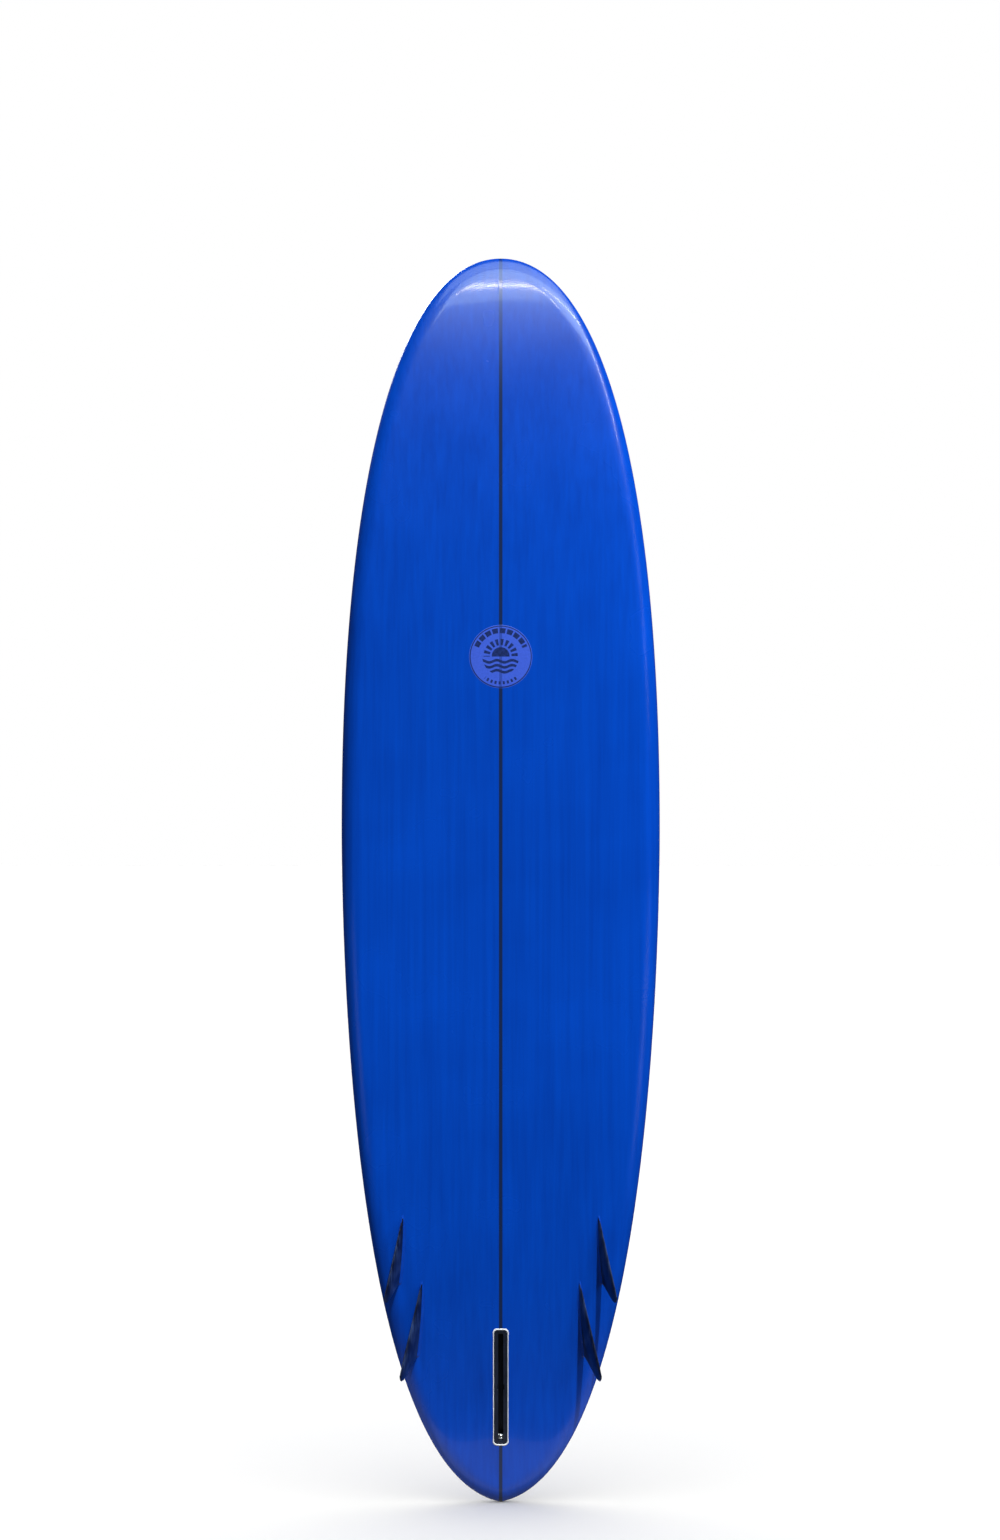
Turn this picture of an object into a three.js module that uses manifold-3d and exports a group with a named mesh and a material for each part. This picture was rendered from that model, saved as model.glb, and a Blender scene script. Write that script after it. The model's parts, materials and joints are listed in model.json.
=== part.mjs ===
// A round-nosed surfboard with four glassed-on side fins and an empty centre fin box.
//
// The board stands on its tail: +Z runs from the tail tip to the nose, the bottom faces -Y and
// the deck faces +Y. The origin is the rail at the tail tip. Everything is in millimetres.
//
// One function, boardPoint, gives every point of the board's surface at any depth under it, so
// the foam, the stringer, the two fibreglass skins and the feet of the fins all share one shape.

import * as THREE from "three";
import { mergeVertices } from "three/addons/utils/BufferGeometryUtils.js";
import Module from "manifold-3d";

const wasm = await Module();
wasm.setup();

// ---------------------------------------------------------------- driving dimensions

// Outline, seen from below. Each half is two Bezier curves that meet at the wide point.
const LENGTH = 2184;
const WIDTH = 553.6;
const WIDE_POINT_FROM_TAIL = 1183;
const NOSE_RAIL_HANDLE = 657;
const NOSE_TIP_INSET = 112;
const TAIL_RAIL_HANDLE = 168;
const TAIL_TIP_INSET = 12;
const TAIL_TIP_SWEEP = 52;

// Rocker: how far the bottom curves up towards the deck at the ends.
const ROCKER_LOW_FROM_TAIL = 1005;
const NOSE_ROCKER = 114;
const NOSE_ROCKER_POWER = 3.1;
const TAIL_ROCKER = 52;
const TAIL_ROCKER_POWER = 2.2;

// Thickness along the stringer.
const THICKNESS = 73;
const THICK_POINT_FROM_TAIL = 1136;
const NOSE_THICKNESS = 20;
const NOSE_FOIL_POWER = 1.4;
const TAIL_THICKNESS = 26;
const TAIL_FOIL_POWER = 1.1;

// Section across the board: a domed deck, a rolled lower rail and a shallow concave bottom.
const RAIL_APEX_SHARE = 0.38;
const RAIL_ROLL = 30;
const DECK_DOME_POWER = 2.6;
const DECK_RAIL_POWER = 2.2;
const SINGLE_CONCAVE = 2.4;
const DOUBLE_CONCAVE = 2.2;
const CONCAVE_SPAN = 0.8;
const DOUBLE_CONCAVE_END = 620;
const DOUBLE_CONCAVE_RUN = 200;
const TAIL_FAN_CENTRE = 70;
const NOSE_FAN_CENTRE = 130;

// Layers under the surface.
const GLASS_THICKNESS = 1.5;
const STRINGER_THICKNESS = 5;
const RAIL_LAP = 42;
const GAP = 0.3;

// Badge let into the bottom glass.
const BADGE_DIAMETER = 110;
const BADGE_FROM_TAIL = 1477;
const BADGE_THICKNESS = 0.5;

// Centre fin box, with the screw and its plate parked at the tail end of the slot.
const SLOT_LENGTH = 190;
const SLOT_WIDTH = 8.7;
const SLOT_DEPTH = 19;
const SLOT_LIP = 2.15;
const GROOVE_FROM_TOP = 5.4;
const GATE_LENGTH = 10;
const BOX_TAIL_END_FROM_TAIL = 104.6;
const BOX_END_WALL = 6;
const BOX_SIDE_WALL = 5.3;
const BOX_FLOOR_WALL = 3;
const BOX_CORNER = 6;
const BOX_RIM = 2.6;
const BOX_STEP = 0.6;
const RESIN_BEAD = 2.7;
const RESIN_FLOOR = 1.5;
const RESIN_PROUD = 0.5;
const PLATE_LENGTH = 9;
const PLATE_THICKNESS = 2.6;
const SCREW_SHANK_DIAMETER = 4;
const SCREW_TIP_CLEARANCE = 2.6;
const SCREW_HEAD_CLEARANCE = 0.45;
const SCREW_HEAD_HEIGHT = 2.6;
const DRIVER_SLOT_WIDTH = 1.1;
const DRIVER_SLOT_DEPTH = 1.2;

// Leash plug in the deck.
const PLUG_FROM_TAIL = 80;
const PLUG_FROM_CENTRE = 25;
const PLUG_DIAMETER = 26;
const PLUG_DEPTH = 17;
const PLUG_WALL = 2.2;
const PLUG_RESIN = 1.6;
const PLUG_BAR_DIAMETER = 4;
const PLUG_BAR_FROM_TOP = 4.6;

// Side fins. rail is the distance in from the rail at the leading end of the base.
const FIN_CANT = 23;
const FIN_THICKNESS = 6.5;
const FIN_TIP_CHORD = 18;
const FILLET_RADIUS = 4.5;
const FILLET_LIP = 0.5;
const FRONT_FIN = { fromTail: 507, rail: 62, base: 118, height: 60, rake: 27, toe: 2.7 };
const REAR_FIN = { fromTail: 392, rail: 75, base: 131, height: 70, rake: 34, toe: 3.2 };

// How finely the curved pieces are divided.
const NOSE_STATIONS = 15;
const TAIL_STATIONS = 16;
const FLAT_ROWS = 3;
const ROLL_ROWS = 4;
const RAIL_ROWS = 4;
const ROUND_SIDES = 32;
const FOIL_SIDES = 14;
const FIN_ROWS = 8;

// ---------------------------------------------------------------- outline and section

const HALF_WIDTH = WIDTH / 2;

const tailCurve = new THREE.CubicBezierCurve(
  new THREE.Vector2(0, 0),
  new THREE.Vector2(HALF_WIDTH - TAIL_TIP_INSET, TAIL_TIP_SWEEP),
  new THREE.Vector2(HALF_WIDTH, WIDE_POINT_FROM_TAIL - TAIL_RAIL_HANDLE),
  new THREE.Vector2(HALF_WIDTH, WIDE_POINT_FROM_TAIL),
);
const noseCurve = new THREE.CubicBezierCurve(
  new THREE.Vector2(HALF_WIDTH, WIDE_POINT_FROM_TAIL),
  new THREE.Vector2(HALF_WIDTH, WIDE_POINT_FROM_TAIL + NOSE_RAIL_HANDLE),
  new THREE.Vector2(HALF_WIDTH - NOSE_TIP_INSET, LENGTH),
  new THREE.Vector2(0, LENGTH),
);

// One place on the outline: its point, its outward direction in plan, and the point on the
// stringer that its section line runs out from. At a tip the section line is the stringer.
function stationOn(curve, t, tip) {
  const point = curve.getPoint(t);
  const tangent = curve.getTangent(t);
  const spineLength = LENGTH - TAIL_FAN_CENTRE - NOSE_FAN_CENTRE;
  return {
    x: point.x,
    z: point.y,
    outX: tip ? 0 : tangent.y,
    outZ: tip ? -1 / tangent.x : -tangent.x,
    spineZ: TAIL_FAN_CENTRE + (spineLength * point.y) / LENGTH,
  };
}

// The stations of the right half, from the tail tip to the nose tip.
function rightStations() {
  const stations = [];
  for (let i = 0; i < TAIL_STATIONS; i++) {
    stations.push(stationOn(tailCurve, i / TAIL_STATIONS, i === 0));
  }
  for (let i = 0; i <= NOSE_STATIONS; i++) {
    stations.push(stationOn(noseCurve, i / NOSE_STATIONS, i === NOSE_STATIONS));
  }
  return stations;
}

// All stations, once round the board: up the right rail and down the left one.
function allStations() {
  const right = rightStations();
  const left = right.slice(1, -1).reverse();
  return [...right, ...left.map((s) => ({ ...s, x: -s.x, outX: -s.outX }))];
}

const STATIONS = allStations();

function rockerAt(z) {
  const towardsNose = z > ROCKER_LOW_FROM_TAIL;
  const span = towardsNose ? LENGTH - ROCKER_LOW_FROM_TAIL : ROCKER_LOW_FROM_TAIL;
  const share = Math.abs(z - ROCKER_LOW_FROM_TAIL) / span;
  const rise = towardsNose ? NOSE_ROCKER : TAIL_ROCKER;
  return rise * share ** (towardsNose ? NOSE_ROCKER_POWER : TAIL_ROCKER_POWER);
}

function thicknessAt(z) {
  const towardsNose = z > THICK_POINT_FROM_TAIL;
  const span = towardsNose ? LENGTH - THICK_POINT_FROM_TAIL : THICK_POINT_FROM_TAIL;
  const share = Math.min(1, Math.abs(z - THICK_POINT_FROM_TAIL) / span);
  const end = towardsNose ? NOSE_THICKNESS : TAIL_THICKNESS;
  const power = towardsNose ? NOSE_FOIL_POWER : TAIL_FOIL_POWER;
  return end + (THICKNESS - end) * (1 - share ** 2) ** power;
}

// The height of the rail's outermost line over the bottom.
function apexAt(z) {
  return RAIL_APEX_SHARE * thicknessAt(z);
}

// The bottom's hollow at a share of the way out to the rail: one broad concave that turns into
// two beside the stringer near the tail.
function concaveAt(share, z) {
  const across = Math.min(1, share / CONCAVE_SPAN);
  const towardsTail = THREE.MathUtils.smoothstep(DOUBLE_CONCAVE_END - z, 0, DOUBLE_CONCAVE_END / 2);
  const ends = THREE.MathUtils.smoothstep(Math.min(z, LENGTH - z), 0, DOUBLE_CONCAVE_END);
  const single = SINGLE_CONCAVE * ends * (1 - across ** 2) ** 2;
  const double = DOUBLE_CONCAVE * Math.sin(Math.PI * across) ** 2;
  return single * (1 - towardsTail) + double * towardsTail * Math.min(1, z / DOUBLE_CONCAVE_RUN);
}

const ORIGIN_HEIGHT = rockerAt(0) + apexAt(0);

// A point of the board's bottom or deck at a share of the way from the stringer out to the rail,
// moved under the surface by depth. Both sides shrink towards the rail line together.
function boardPoint(station, side, share, depth) {
  const railX = station.x - depth * station.outX;
  const railZ = station.z - depth * station.outZ;
  const x = railX * share;
  const z = station.spineZ + (railZ - station.spineZ) * share;
  const reach = Math.hypot(railX, railZ - station.spineZ);
  const apex = apexAt(z);
  let height;
  if (side === "deck") {
    const dome = (1 - Math.min(1, share) ** DECK_DOME_POWER) ** (1 / DECK_RAIL_POWER);
    height = apex + (thicknessAt(z) - apex - depth) * dome;
  } else {
    const roll = rollOf(reach) - depth;
    const along = Math.max(0, 1 - ((1 - share) * reach) / roll);
    const lift = 1 - Math.sqrt(Math.max(0, 1 - along ** 2));
    height = depth + (apex - depth) * lift + concaveAt(share, z);
  }
  return new THREE.Vector3(x, rockerAt(z) + height - ORIGIN_HEIGHT, z);
}

// The width of the rolled lower rail, which is narrower where the section line is short.
function rollOf(reach) {
  return Math.min(RAIL_ROLL, 0.7 * reach);
}

function reachOf(station) {
  return Math.hypot(station.x, station.z - station.spineZ);
}

// The share of the section line at which the bottom skin, wrapped over the rail, ends on the deck.
function lapShare(station) {
  return Math.max(0.2, 1 - RAIL_LAP / reachOf(station));
}

// Rows of points from the stringer to the rail. A row gives its share at a station.
const bottomRows = [];
for (let i = 0; i < FLAT_ROWS; i++) {
  bottomRows.push((s) => (i / FLAT_ROWS) * (1 - rollOf(reachOf(s)) / reachOf(s)));
}
for (let i = 0; i <= ROLL_ROWS; i++) {
  const sweep = Math.sin((Math.PI / 2) * (i / ROLL_ROWS));
  bottomRows.push((s) => 1 - (rollOf(reachOf(s)) / reachOf(s)) * (1 - sweep));
}

// Rows of the deck's rail from the lap line out to the rail, at even turns round the section.
const railRows = [];
for (let i = 0; i <= RAIL_ROWS; i++) {
  railRows.push((s) => {
    const start = Math.asin(lapShare(s) ** (DECK_DOME_POWER / 2));
    const turn = start + (Math.PI / 2 - start) * (i / RAIL_ROWS);
    return Math.sin(turn) ** (2 / DECK_DOME_POWER);
  });
}

// Rows of the deck inside the lap line, drawn in by a gap.
function deckRows(gap) {
  const rows = [];
  for (let i = 0; i <= FLAT_ROWS; i++) {
    rows.push((s) => (i / FLAT_ROWS) * (lapShare(s) - gap / reachOf(s)));
  }
  return rows;
}

// ---------------------------------------------------------------- solids

function geometryOf(solid) {
  const mesh = solid.getMesh();
  const geometry = new THREE.BufferGeometry();
  geometry.setAttribute("position", new THREE.BufferAttribute(mesh.vertProperties.slice(), 3));
  geometry.setIndex(new THREE.BufferAttribute(mesh.triVerts.slice(), 1));
  return geometry;
}

function solidOf(geometry) {
  const bare = geometry.clone();
  bare.deleteAttribute("normal");
  bare.deleteAttribute("uv");
  const merged = mergeVertices(bare, 1e-4);
  return new wasm.Manifold(
    new wasm.Mesh({
      numProp: 3,
      vertProperties: new Float32Array(merged.attributes.position.array),
      triVerts: new Uint32Array(merged.index.array),
    }),
  );
}

// A surface over a grid of points: loops[i][j] is point j of loop i. closed joins the last loop to
// the first. crossed says where a cell is split along its other diagonal.
function gridGeometry(loops, closed, crossed = () => false) {
  const positions = [];
  const index = [];
  const count = loops[0].length;
  const cells = closed ? loops.length : loops.length - 1;
  loops.forEach((loop) => loop.forEach((p) => positions.push(p.x, p.y, p.z)));
  for (let i = 0; i < cells; i++) {
    const next = (i + 1) % loops.length;
    for (let j = 0; j + 1 < count; j++) {
      const a = i * count + j;
      const b = next * count + j;
      if (crossed(i, j)) index.push(a, a + 1, b, a + 1, b + 1, b);
      else index.push(a, b + 1, b, a, a + 1, b + 1);
    }
  }
  const geometry = new THREE.BufferGeometry();
  geometry.setAttribute("position", new THREE.Float32BufferAttribute(positions, 3));
  geometry.setIndex(index);
  return geometry;
}

// A solid whose section at every station runs through the given rows: {side, row, depth}.
// The path starts and ends on the stringer, where the two halves close on each other. Cells are
// split the same way whichever way the path runs, so skins stay parallel to what is under them.
function sweptRound(path) {
  const loops = STATIONS.map((station) =>
    path.map(({ side, row, depth }) => boardPoint(station, side, row(station), depth)),
  );
  const crossed = (i, j) => {
    const station = STATIONS[i];
    const outwards = path[j + 1].row(station) > path[j].row(station);
    const onLeft = i >= STATIONS.length / 2;
    return outwards !== onLeft;
  };
  return solidOf(gridGeometry(loops, true, crossed));
}

function steps(side, rows, depth) {
  return rows.map((row) => ({ side, row, depth }));
}

function reversed(list) {
  return [...list].reverse();
}

// The whole board, shrunk under its own surface by depth.
function boardSolid(depth) {
  return sweptRound([
    ...steps("bottom", bottomRows, depth),
    ...steps("deck", reversed(railRows).slice(1), depth),
    ...steps("deck", reversed(deckRows(0)).slice(1), depth),
  ]);
}

function boxSolid(sizeX, sizeY, sizeZ, centre) {
  const box = new THREE.BoxGeometry(sizeX, sizeY, sizeZ);
  box.translate(centre.x, centre.y, centre.z);
  return solidOf(box);
}

// A slab the size of the board between two distances across it.
function slabAcross(fromX, toX) {
  const middle = new THREE.Vector3((fromX + toX) / 2, 0, LENGTH / 2);
  return boxSolid(toX - fromX, LENGTH, 2 * LENGTH, middle);
}

function cylinderSolid(radius, from, to, sides = ROUND_SIDES) {
  const cylinder = new THREE.CylinderGeometry(radius, radius, to - from, sides);
  cylinder.translate(0, (from + to) / 2, 0);
  return solidOf(cylinder);
}

// An upright prism with rounded corners, sizeX across, sizeZ along, between two depths in Y.
function roundedPrism(sizeX, sizeZ, corner, from, to) {
  const halfX = sizeX / 2;
  const halfZ = sizeZ / 2;
  const shape = new THREE.Shape();
  shape.absarc(halfX - corner, halfZ - corner, corner, 0, Math.PI / 2);
  shape.absarc(corner - halfX, halfZ - corner, corner, Math.PI / 2, Math.PI);
  shape.absarc(corner - halfX, corner - halfZ, corner, Math.PI, 1.5 * Math.PI);
  shape.absarc(halfX - corner, corner - halfZ, corner, 1.5 * Math.PI, 2 * Math.PI);
  const settings = { depth: to - from, bevelEnabled: false, curveSegments: 5 };
  const prism = new THREE.ExtrudeGeometry(shape, settings);
  prism.rotateX(Math.PI / 2);
  prism.translate(0, to, 0);
  return solidOf(prism);
}

// A solid made in a fitting's own frame, moved to where the fitting sits.
function placed(solid, frame) {
  const geometry = geometryOf(solid);
  geometry.applyMatrix4(frame);
  return solidOf(geometry);
}

// A frame with its origin on a surface, +Y going in under it, +X across and +Z along the board.
function frameOn(point, inwards, along) {
  const y = inwards.clone().normalize();
  const x = new THREE.Vector3().crossVectors(y, along).normalize();
  const z = new THREE.Vector3().crossVectors(x, y);
  const frame = new THREE.Matrix4().makeBasis(x, y, z);
  return frame.setPosition(point);
}

// ---------------------------------------------------------------- places of the fittings

// The board's surface over a point given by its place across and along. The section line that
// passes through it is found by halving the run of the stringer.
function surfacePoint(side, x, z, depth = 0) {
  let low = 0;
  let high = 1;
  let station;
  let share;
  for (let i = 0; i < 40; i++) {
    const middle = (low + high) / 2;
    station = stationAlong(middle);
    share = Math.abs(x) / Math.max(1e-9, station.x);
    const reached = station.spineZ + (station.z - station.spineZ) * share;
    if (reached < z) low = middle;
    else high = middle;
  }
  const point = boardPoint(station, side, share, depth);
  return new THREE.Vector3(x, point.y, z);
}

// A station at a share of the way along the right half, clear of both tips.
function stationAlong(share) {
  const tailShare = WIDE_POINT_FROM_TAIL / LENGTH;
  const onTail = share < tailShare;
  const t = onTail ? share / tailShare : (share - tailShare) / (1 - tailShare);
  return stationOn(onTail ? tailCurve : noseCurve, THREE.MathUtils.clamp(t, 1e-4, 1 - 1e-4), false);
}

function halfWidthAt(z) {
  let low = 0;
  let high = 1;
  for (let i = 0; i < 40; i++) {
    const middle = (low + high) / 2;
    if (stationAlong(middle).z < z) low = middle;
    else high = middle;
  }
  return stationAlong(low).x;
}

const GROOVE_WIDTH = SLOT_WIDTH + 2 * SLOT_LIP;
const BOX_WIDTH = GROOVE_WIDTH + 2 * BOX_SIDE_WALL;
const BOX_LENGTH = SLOT_LENGTH + 2 * BOX_END_WALL;
const BOX_DEPTH = SLOT_DEPTH + BOX_FLOOR_WALL;
const BOX_FROM_TAIL = BOX_TAIL_END_FROM_TAIL + BOX_LENGTH / 2;

// The fin box sits square to the stringer, level with the bottom at its middle.
const BOX_SLOPE = (rockerAt(BOX_FROM_TAIL + 1) - rockerAt(BOX_FROM_TAIL - 1)) / 2;
const boxAlong = new THREE.Vector3(0, BOX_SLOPE, 1).normalize();
const boxInwards = new THREE.Vector3(0, 1, -BOX_SLOPE).normalize();
const boxTop = new THREE.Vector3(0, rockerAt(BOX_FROM_TAIL) - ORIGIN_HEIGHT, BOX_FROM_TAIL);
const boxFrame = frameOn(boxTop, boxInwards, boxAlong);

// The leash plug sits square to the deck.
function plugPlacement() {
  const reach = PLUG_DIAMETER / 2;
  const at = (dx, dz) => surfacePoint("deck", PLUG_FROM_CENTRE + dx, PLUG_FROM_TAIL + dz);
  const along = at(0, reach).sub(at(0, -reach));
  const across = at(reach, 0).sub(at(-reach, 0));
  const inwards = new THREE.Vector3().crossVectors(across, along);
  return frameOn(at(0, 0), inwards, along);
}

const plugFrame = plugPlacement();

// ---------------------------------------------------------------- cutters

const BEAD_LENGTH = BOX_LENGTH + 2 * (RESIN_BEAD + GAP);
const BEAD_WIDTH = BOX_WIDTH + 2 * (RESIN_BEAD + GAP);
const BEAD_CORNER = BOX_CORNER + RESIN_BEAD + GAP;
const BOX_TOP = RESIN_PROUD;
const BOX_FLOOR = BOX_TOP + BOX_DEPTH;
const BED_FLOOR = BOX_FLOOR + GAP + RESIN_FLOOR;
const CLEAR_OF_BOARD = 12;

function boxRout() {
  const length = BEAD_LENGTH + 2 * GAP;
  const width = BEAD_WIDTH + 2 * GAP;
  const rout = roundedPrism(width, length, BEAD_CORNER + GAP, -CLEAR_OF_BOARD, BED_FLOOR + GAP);
  return placed(rout, boxFrame);
}

const PLUG_RADIUS = PLUG_DIAMETER / 2;
const PLUG_BED_RADIUS = PLUG_RADIUS + GAP + PLUG_RESIN;
const PLUG_BED_FLOOR = PLUG_DEPTH + GAP + PLUG_RESIN;

function plugRout() {
  const rout = cylinderSolid(PLUG_BED_RADIUS + GAP, -CLEAR_OF_BOARD, PLUG_BED_FLOOR + GAP);
  return placed(rout, plugFrame);
}

// A cylinder through the bottom at the badge, square to the bottom there.
function badgeCore(radius) {
  const slope = (rockerAt(BADGE_FROM_TAIL + 1) - rockerAt(BADGE_FROM_TAIL - 1)) / 2;
  const inwards = new THREE.Vector3(0, 1, -slope);
  const along = new THREE.Vector3(0, slope, 1);
  const centre = surfacePoint("bottom", 0, BADGE_FROM_TAIL);
  const core = cylinderSolid(radius, -CLEAR_OF_BOARD, CLEAR_OF_BOARD);
  return placed(core, frameOn(centre, inwards, along));
}

// ---------------------------------------------------------------- board core and skins

const FOAM_DEPTH = GLASS_THICKNESS + GAP;
const core = boardSolid(FOAM_DEPTH).subtract(boxRout()).subtract(plugRout());

function foamHalf(side) {
  const inner = STRINGER_THICKNESS / 2 + GAP;
  const slab = side < 0 ? slabAcross(-WIDTH, -inner) : slabAcross(inner, WIDTH);
  return core.intersect(slab);
}

// The two pieces of the stringer that the fin box rout leaves stay joined above the box.
function stringer() {
  return core.intersect(slabAcross(-STRINGER_THICKNESS / 2, STRINGER_THICKNESS / 2));
}

// The bottom skin, wrapped over the rails and ending at the lap line on the deck.
function bottomGlass() {
  const outside = [
    ...steps("bottom", bottomRows, 0),
    ...steps("deck", reversed(railRows).slice(1), 0),
  ];
  const inside = [
    ...steps("deck", railRows, GLASS_THICKNESS),
    ...steps("bottom", reversed(bottomRows).slice(1), GLASS_THICKNESS),
  ];
  const skin = sweptRound([...outside, ...inside]);
  const pocket = badgeCore(BADGE_DIAMETER / 2 + GAP).subtract(boardSolid(BADGE_THICKNESS + GAP));
  return skin.subtract(boxRout()).subtract(plugRout()).subtract(pocket);
}

// The deck skin, which fills the deck inside the lap line.
function deckGlass() {
  const rows = deckRows(GAP);
  const inside = steps("deck", rows, GLASS_THICKNESS);
  const skin = sweptRound([...inside, ...steps("deck", reversed(rows), 0)]);
  return skin.subtract(plugRout());
}

// A thin disc that follows the bottom's curve.
function badge() {
  const layer = boardSolid(0).subtract(boardSolid(BADGE_THICKNESS));
  const nearBottom = slabUnder(BADGE_FROM_TAIL);
  return badgeCore(BADGE_DIAMETER / 2).intersect(layer).intersect(nearBottom);
}

// Everything on the bottom's side of the board's middle at one place along it.
function slabUnder(z) {
  const middle = rockerAt(z) + thicknessAt(z) / 2 - ORIGIN_HEIGHT;
  return boxSolid(WIDTH, LENGTH, LENGTH, new THREE.Vector3(0, middle - LENGTH / 2, z));
}

// ---------------------------------------------------------------- centre fin box

// The white resin bed that the box is set in, with its bead showing round the box.
function finBoxResin() {
  const outer = roundedPrism(BEAD_WIDTH, BEAD_LENGTH, BEAD_CORNER, 0, BED_FLOOR);
  const width = BOX_WIDTH + 2 * GAP;
  const length = BOX_LENGTH + 2 * GAP;
  const pocket = roundedPrism(width, length, BOX_CORNER + GAP, -CLEAR_OF_BOARD, BOX_FLOOR + GAP);
  return placed(outer.subtract(pocket), boxFrame);
}

const LIP_TOP = BOX_TOP + BOX_STEP;
const GROOVE_TOP = BOX_TOP + GROOVE_FROM_TOP;
const GROOVE_FLOOR = GROOVE_TOP + PLATE_THICKNESS + 2 * GAP;

// The box: a rim, two lips a little lower, the slot between them, the groove that the plate runs
// in under the lips, and the gate in the middle where a fin's pin drops in.
function finBox() {
  const body = roundedPrism(BOX_WIDTH, BOX_LENGTH, BOX_CORNER, BOX_TOP, BOX_FLOOR);
  const stepWidth = BOX_WIDTH - 2 * BOX_RIM;
  const stepLength = BOX_LENGTH - 2 * BOX_RIM;
  const step = roundedPrism(stepWidth, stepLength, BOX_CORNER - BOX_RIM, -1, LIP_TOP);
  const slotFloor = BOX_TOP + SLOT_DEPTH;
  const slot = roundedPrism(SLOT_WIDTH, SLOT_LENGTH, 1, -1, slotFloor);
  const grooveMiddle = new THREE.Vector3(0, (GROOVE_TOP + GROOVE_FLOOR) / 2, 0);
  const groove = boxSolid(GROOVE_WIDTH, GROOVE_FLOOR - GROOVE_TOP, SLOT_LENGTH - 1, grooveMiddle);
  const gateMiddle = new THREE.Vector3(0, (GROOVE_FLOOR - 1) / 2, 0);
  const gate = boxSolid(GROOVE_WIDTH, GROOVE_FLOOR + 1, GATE_LENGTH, gateMiddle);
  const hollow = step.add(slot).add(groove).add(gate);
  return placed(body.subtract(hollow), boxFrame);
}

// The plate and screw rest against the tail end of the groove.
const PARKED = -(SLOT_LENGTH - 1) / 2 + PLATE_LENGTH / 2 + GAP;
const PLATE_TOP = GROOVE_TOP + GAP;
const PLATE_WIDTH = GROOVE_WIDTH - 2 * GAP;

function finPlate() {
  const middle = new THREE.Vector3(0, PLATE_TOP + PLATE_THICKNESS / 2, PARKED);
  const plate = boxSolid(PLATE_WIDTH, PLATE_THICKNESS, PLATE_LENGTH, middle);
  const hole = cylinderSolid(SCREW_SHANK_DIAMETER / 2 + GAP, 0, BOX_FLOOR, 24);
  return placed(plate.subtract(hole.translate(0, 0, PARKED)), boxFrame);
}

// A pan-head screw with a driver slot, its head over the plate and under the lips' top.
function finScrew() {
  const headFloor = PLATE_TOP - GAP;
  const headTop = headFloor - SCREW_HEAD_HEIGHT;
  const radius = SLOT_WIDTH / 2 - SCREW_HEAD_CLEARANCE;
  const shank = SCREW_SHANK_DIAMETER / 2;
  const tip = BOX_TOP + SLOT_DEPTH - SCREW_TIP_CLEARANCE;
  const profile = [
    new THREE.Vector2(0, headTop),
    new THREE.Vector2(radius * 0.7, headTop),
    new THREE.Vector2(radius * 0.93, headTop + SCREW_HEAD_HEIGHT * 0.2),
    new THREE.Vector2(radius, headTop + SCREW_HEAD_HEIGHT * 0.5),
    new THREE.Vector2(radius, headFloor),
    new THREE.Vector2(shank, headFloor),
    new THREE.Vector2(shank, tip - shank / 2),
    new THREE.Vector2(shank / 2, tip),
    new THREE.Vector2(0, tip),
  ];
  const body = solidOf(new THREE.LatheGeometry(profile, 28));
  const driverMiddle = new THREE.Vector3(0, headTop + DRIVER_SLOT_DEPTH / 2 - 1, 0);
  const driverSlot = boxSolid(2 * radius, DRIVER_SLOT_DEPTH + 2, DRIVER_SLOT_WIDTH, driverMiddle);
  const screw = body.subtract(driverSlot).translate(0, 0, PARKED);
  return placed(screw, boxFrame);
}

// ---------------------------------------------------------------- leash plug

function leashResin() {
  const bed = cylinderSolid(PLUG_BED_RADIUS, 0, PLUG_BED_FLOOR);
  const pocket = cylinderSolid(PLUG_RADIUS + GAP, -CLEAR_OF_BOARD, PLUG_DEPTH + GAP);
  return placed(bed.subtract(pocket), plugFrame);
}

// A round cup with a bowl-shaped inside and a hole through each side for the bar.
function leashCup() {
  const bowl = PLUG_RADIUS - PLUG_WALL;
  const floor = PLUG_DEPTH - PLUG_WALL;
  const profile = [
    new THREE.Vector2(0, floor),
    new THREE.Vector2(bowl * 0.5, floor - bowl * 0.13),
    new THREE.Vector2(bowl * 0.87, floor - bowl * 0.5),
    new THREE.Vector2(bowl, floor - bowl),
    new THREE.Vector2(bowl, 0),
    new THREE.Vector2(PLUG_RADIUS, 0),
    new THREE.Vector2(PLUG_RADIUS, PLUG_DEPTH),
    new THREE.Vector2(0, PLUG_DEPTH),
  ];
  const cup = solidOf(new THREE.LatheGeometry(profile, ROUND_SIDES));
  return placed(cup.subtract(barSolid(PLUG_BAR_DIAMETER / 2 + GAP, PLUG_DIAMETER + 2)), plugFrame);
}

function barSolid(radius, length) {
  const bar = new THREE.CylinderGeometry(radius, radius, length, 20);
  bar.rotateZ(Math.PI / 2);
  bar.translate(0, PLUG_BAR_FROM_TOP, 0);
  return solidOf(bar);
}

function leashBar() {
  return placed(barSolid(PLUG_BAR_DIAMETER / 2, PLUG_DIAMETER - 1), plugFrame);
}

// ---------------------------------------------------------------- side fins

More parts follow.
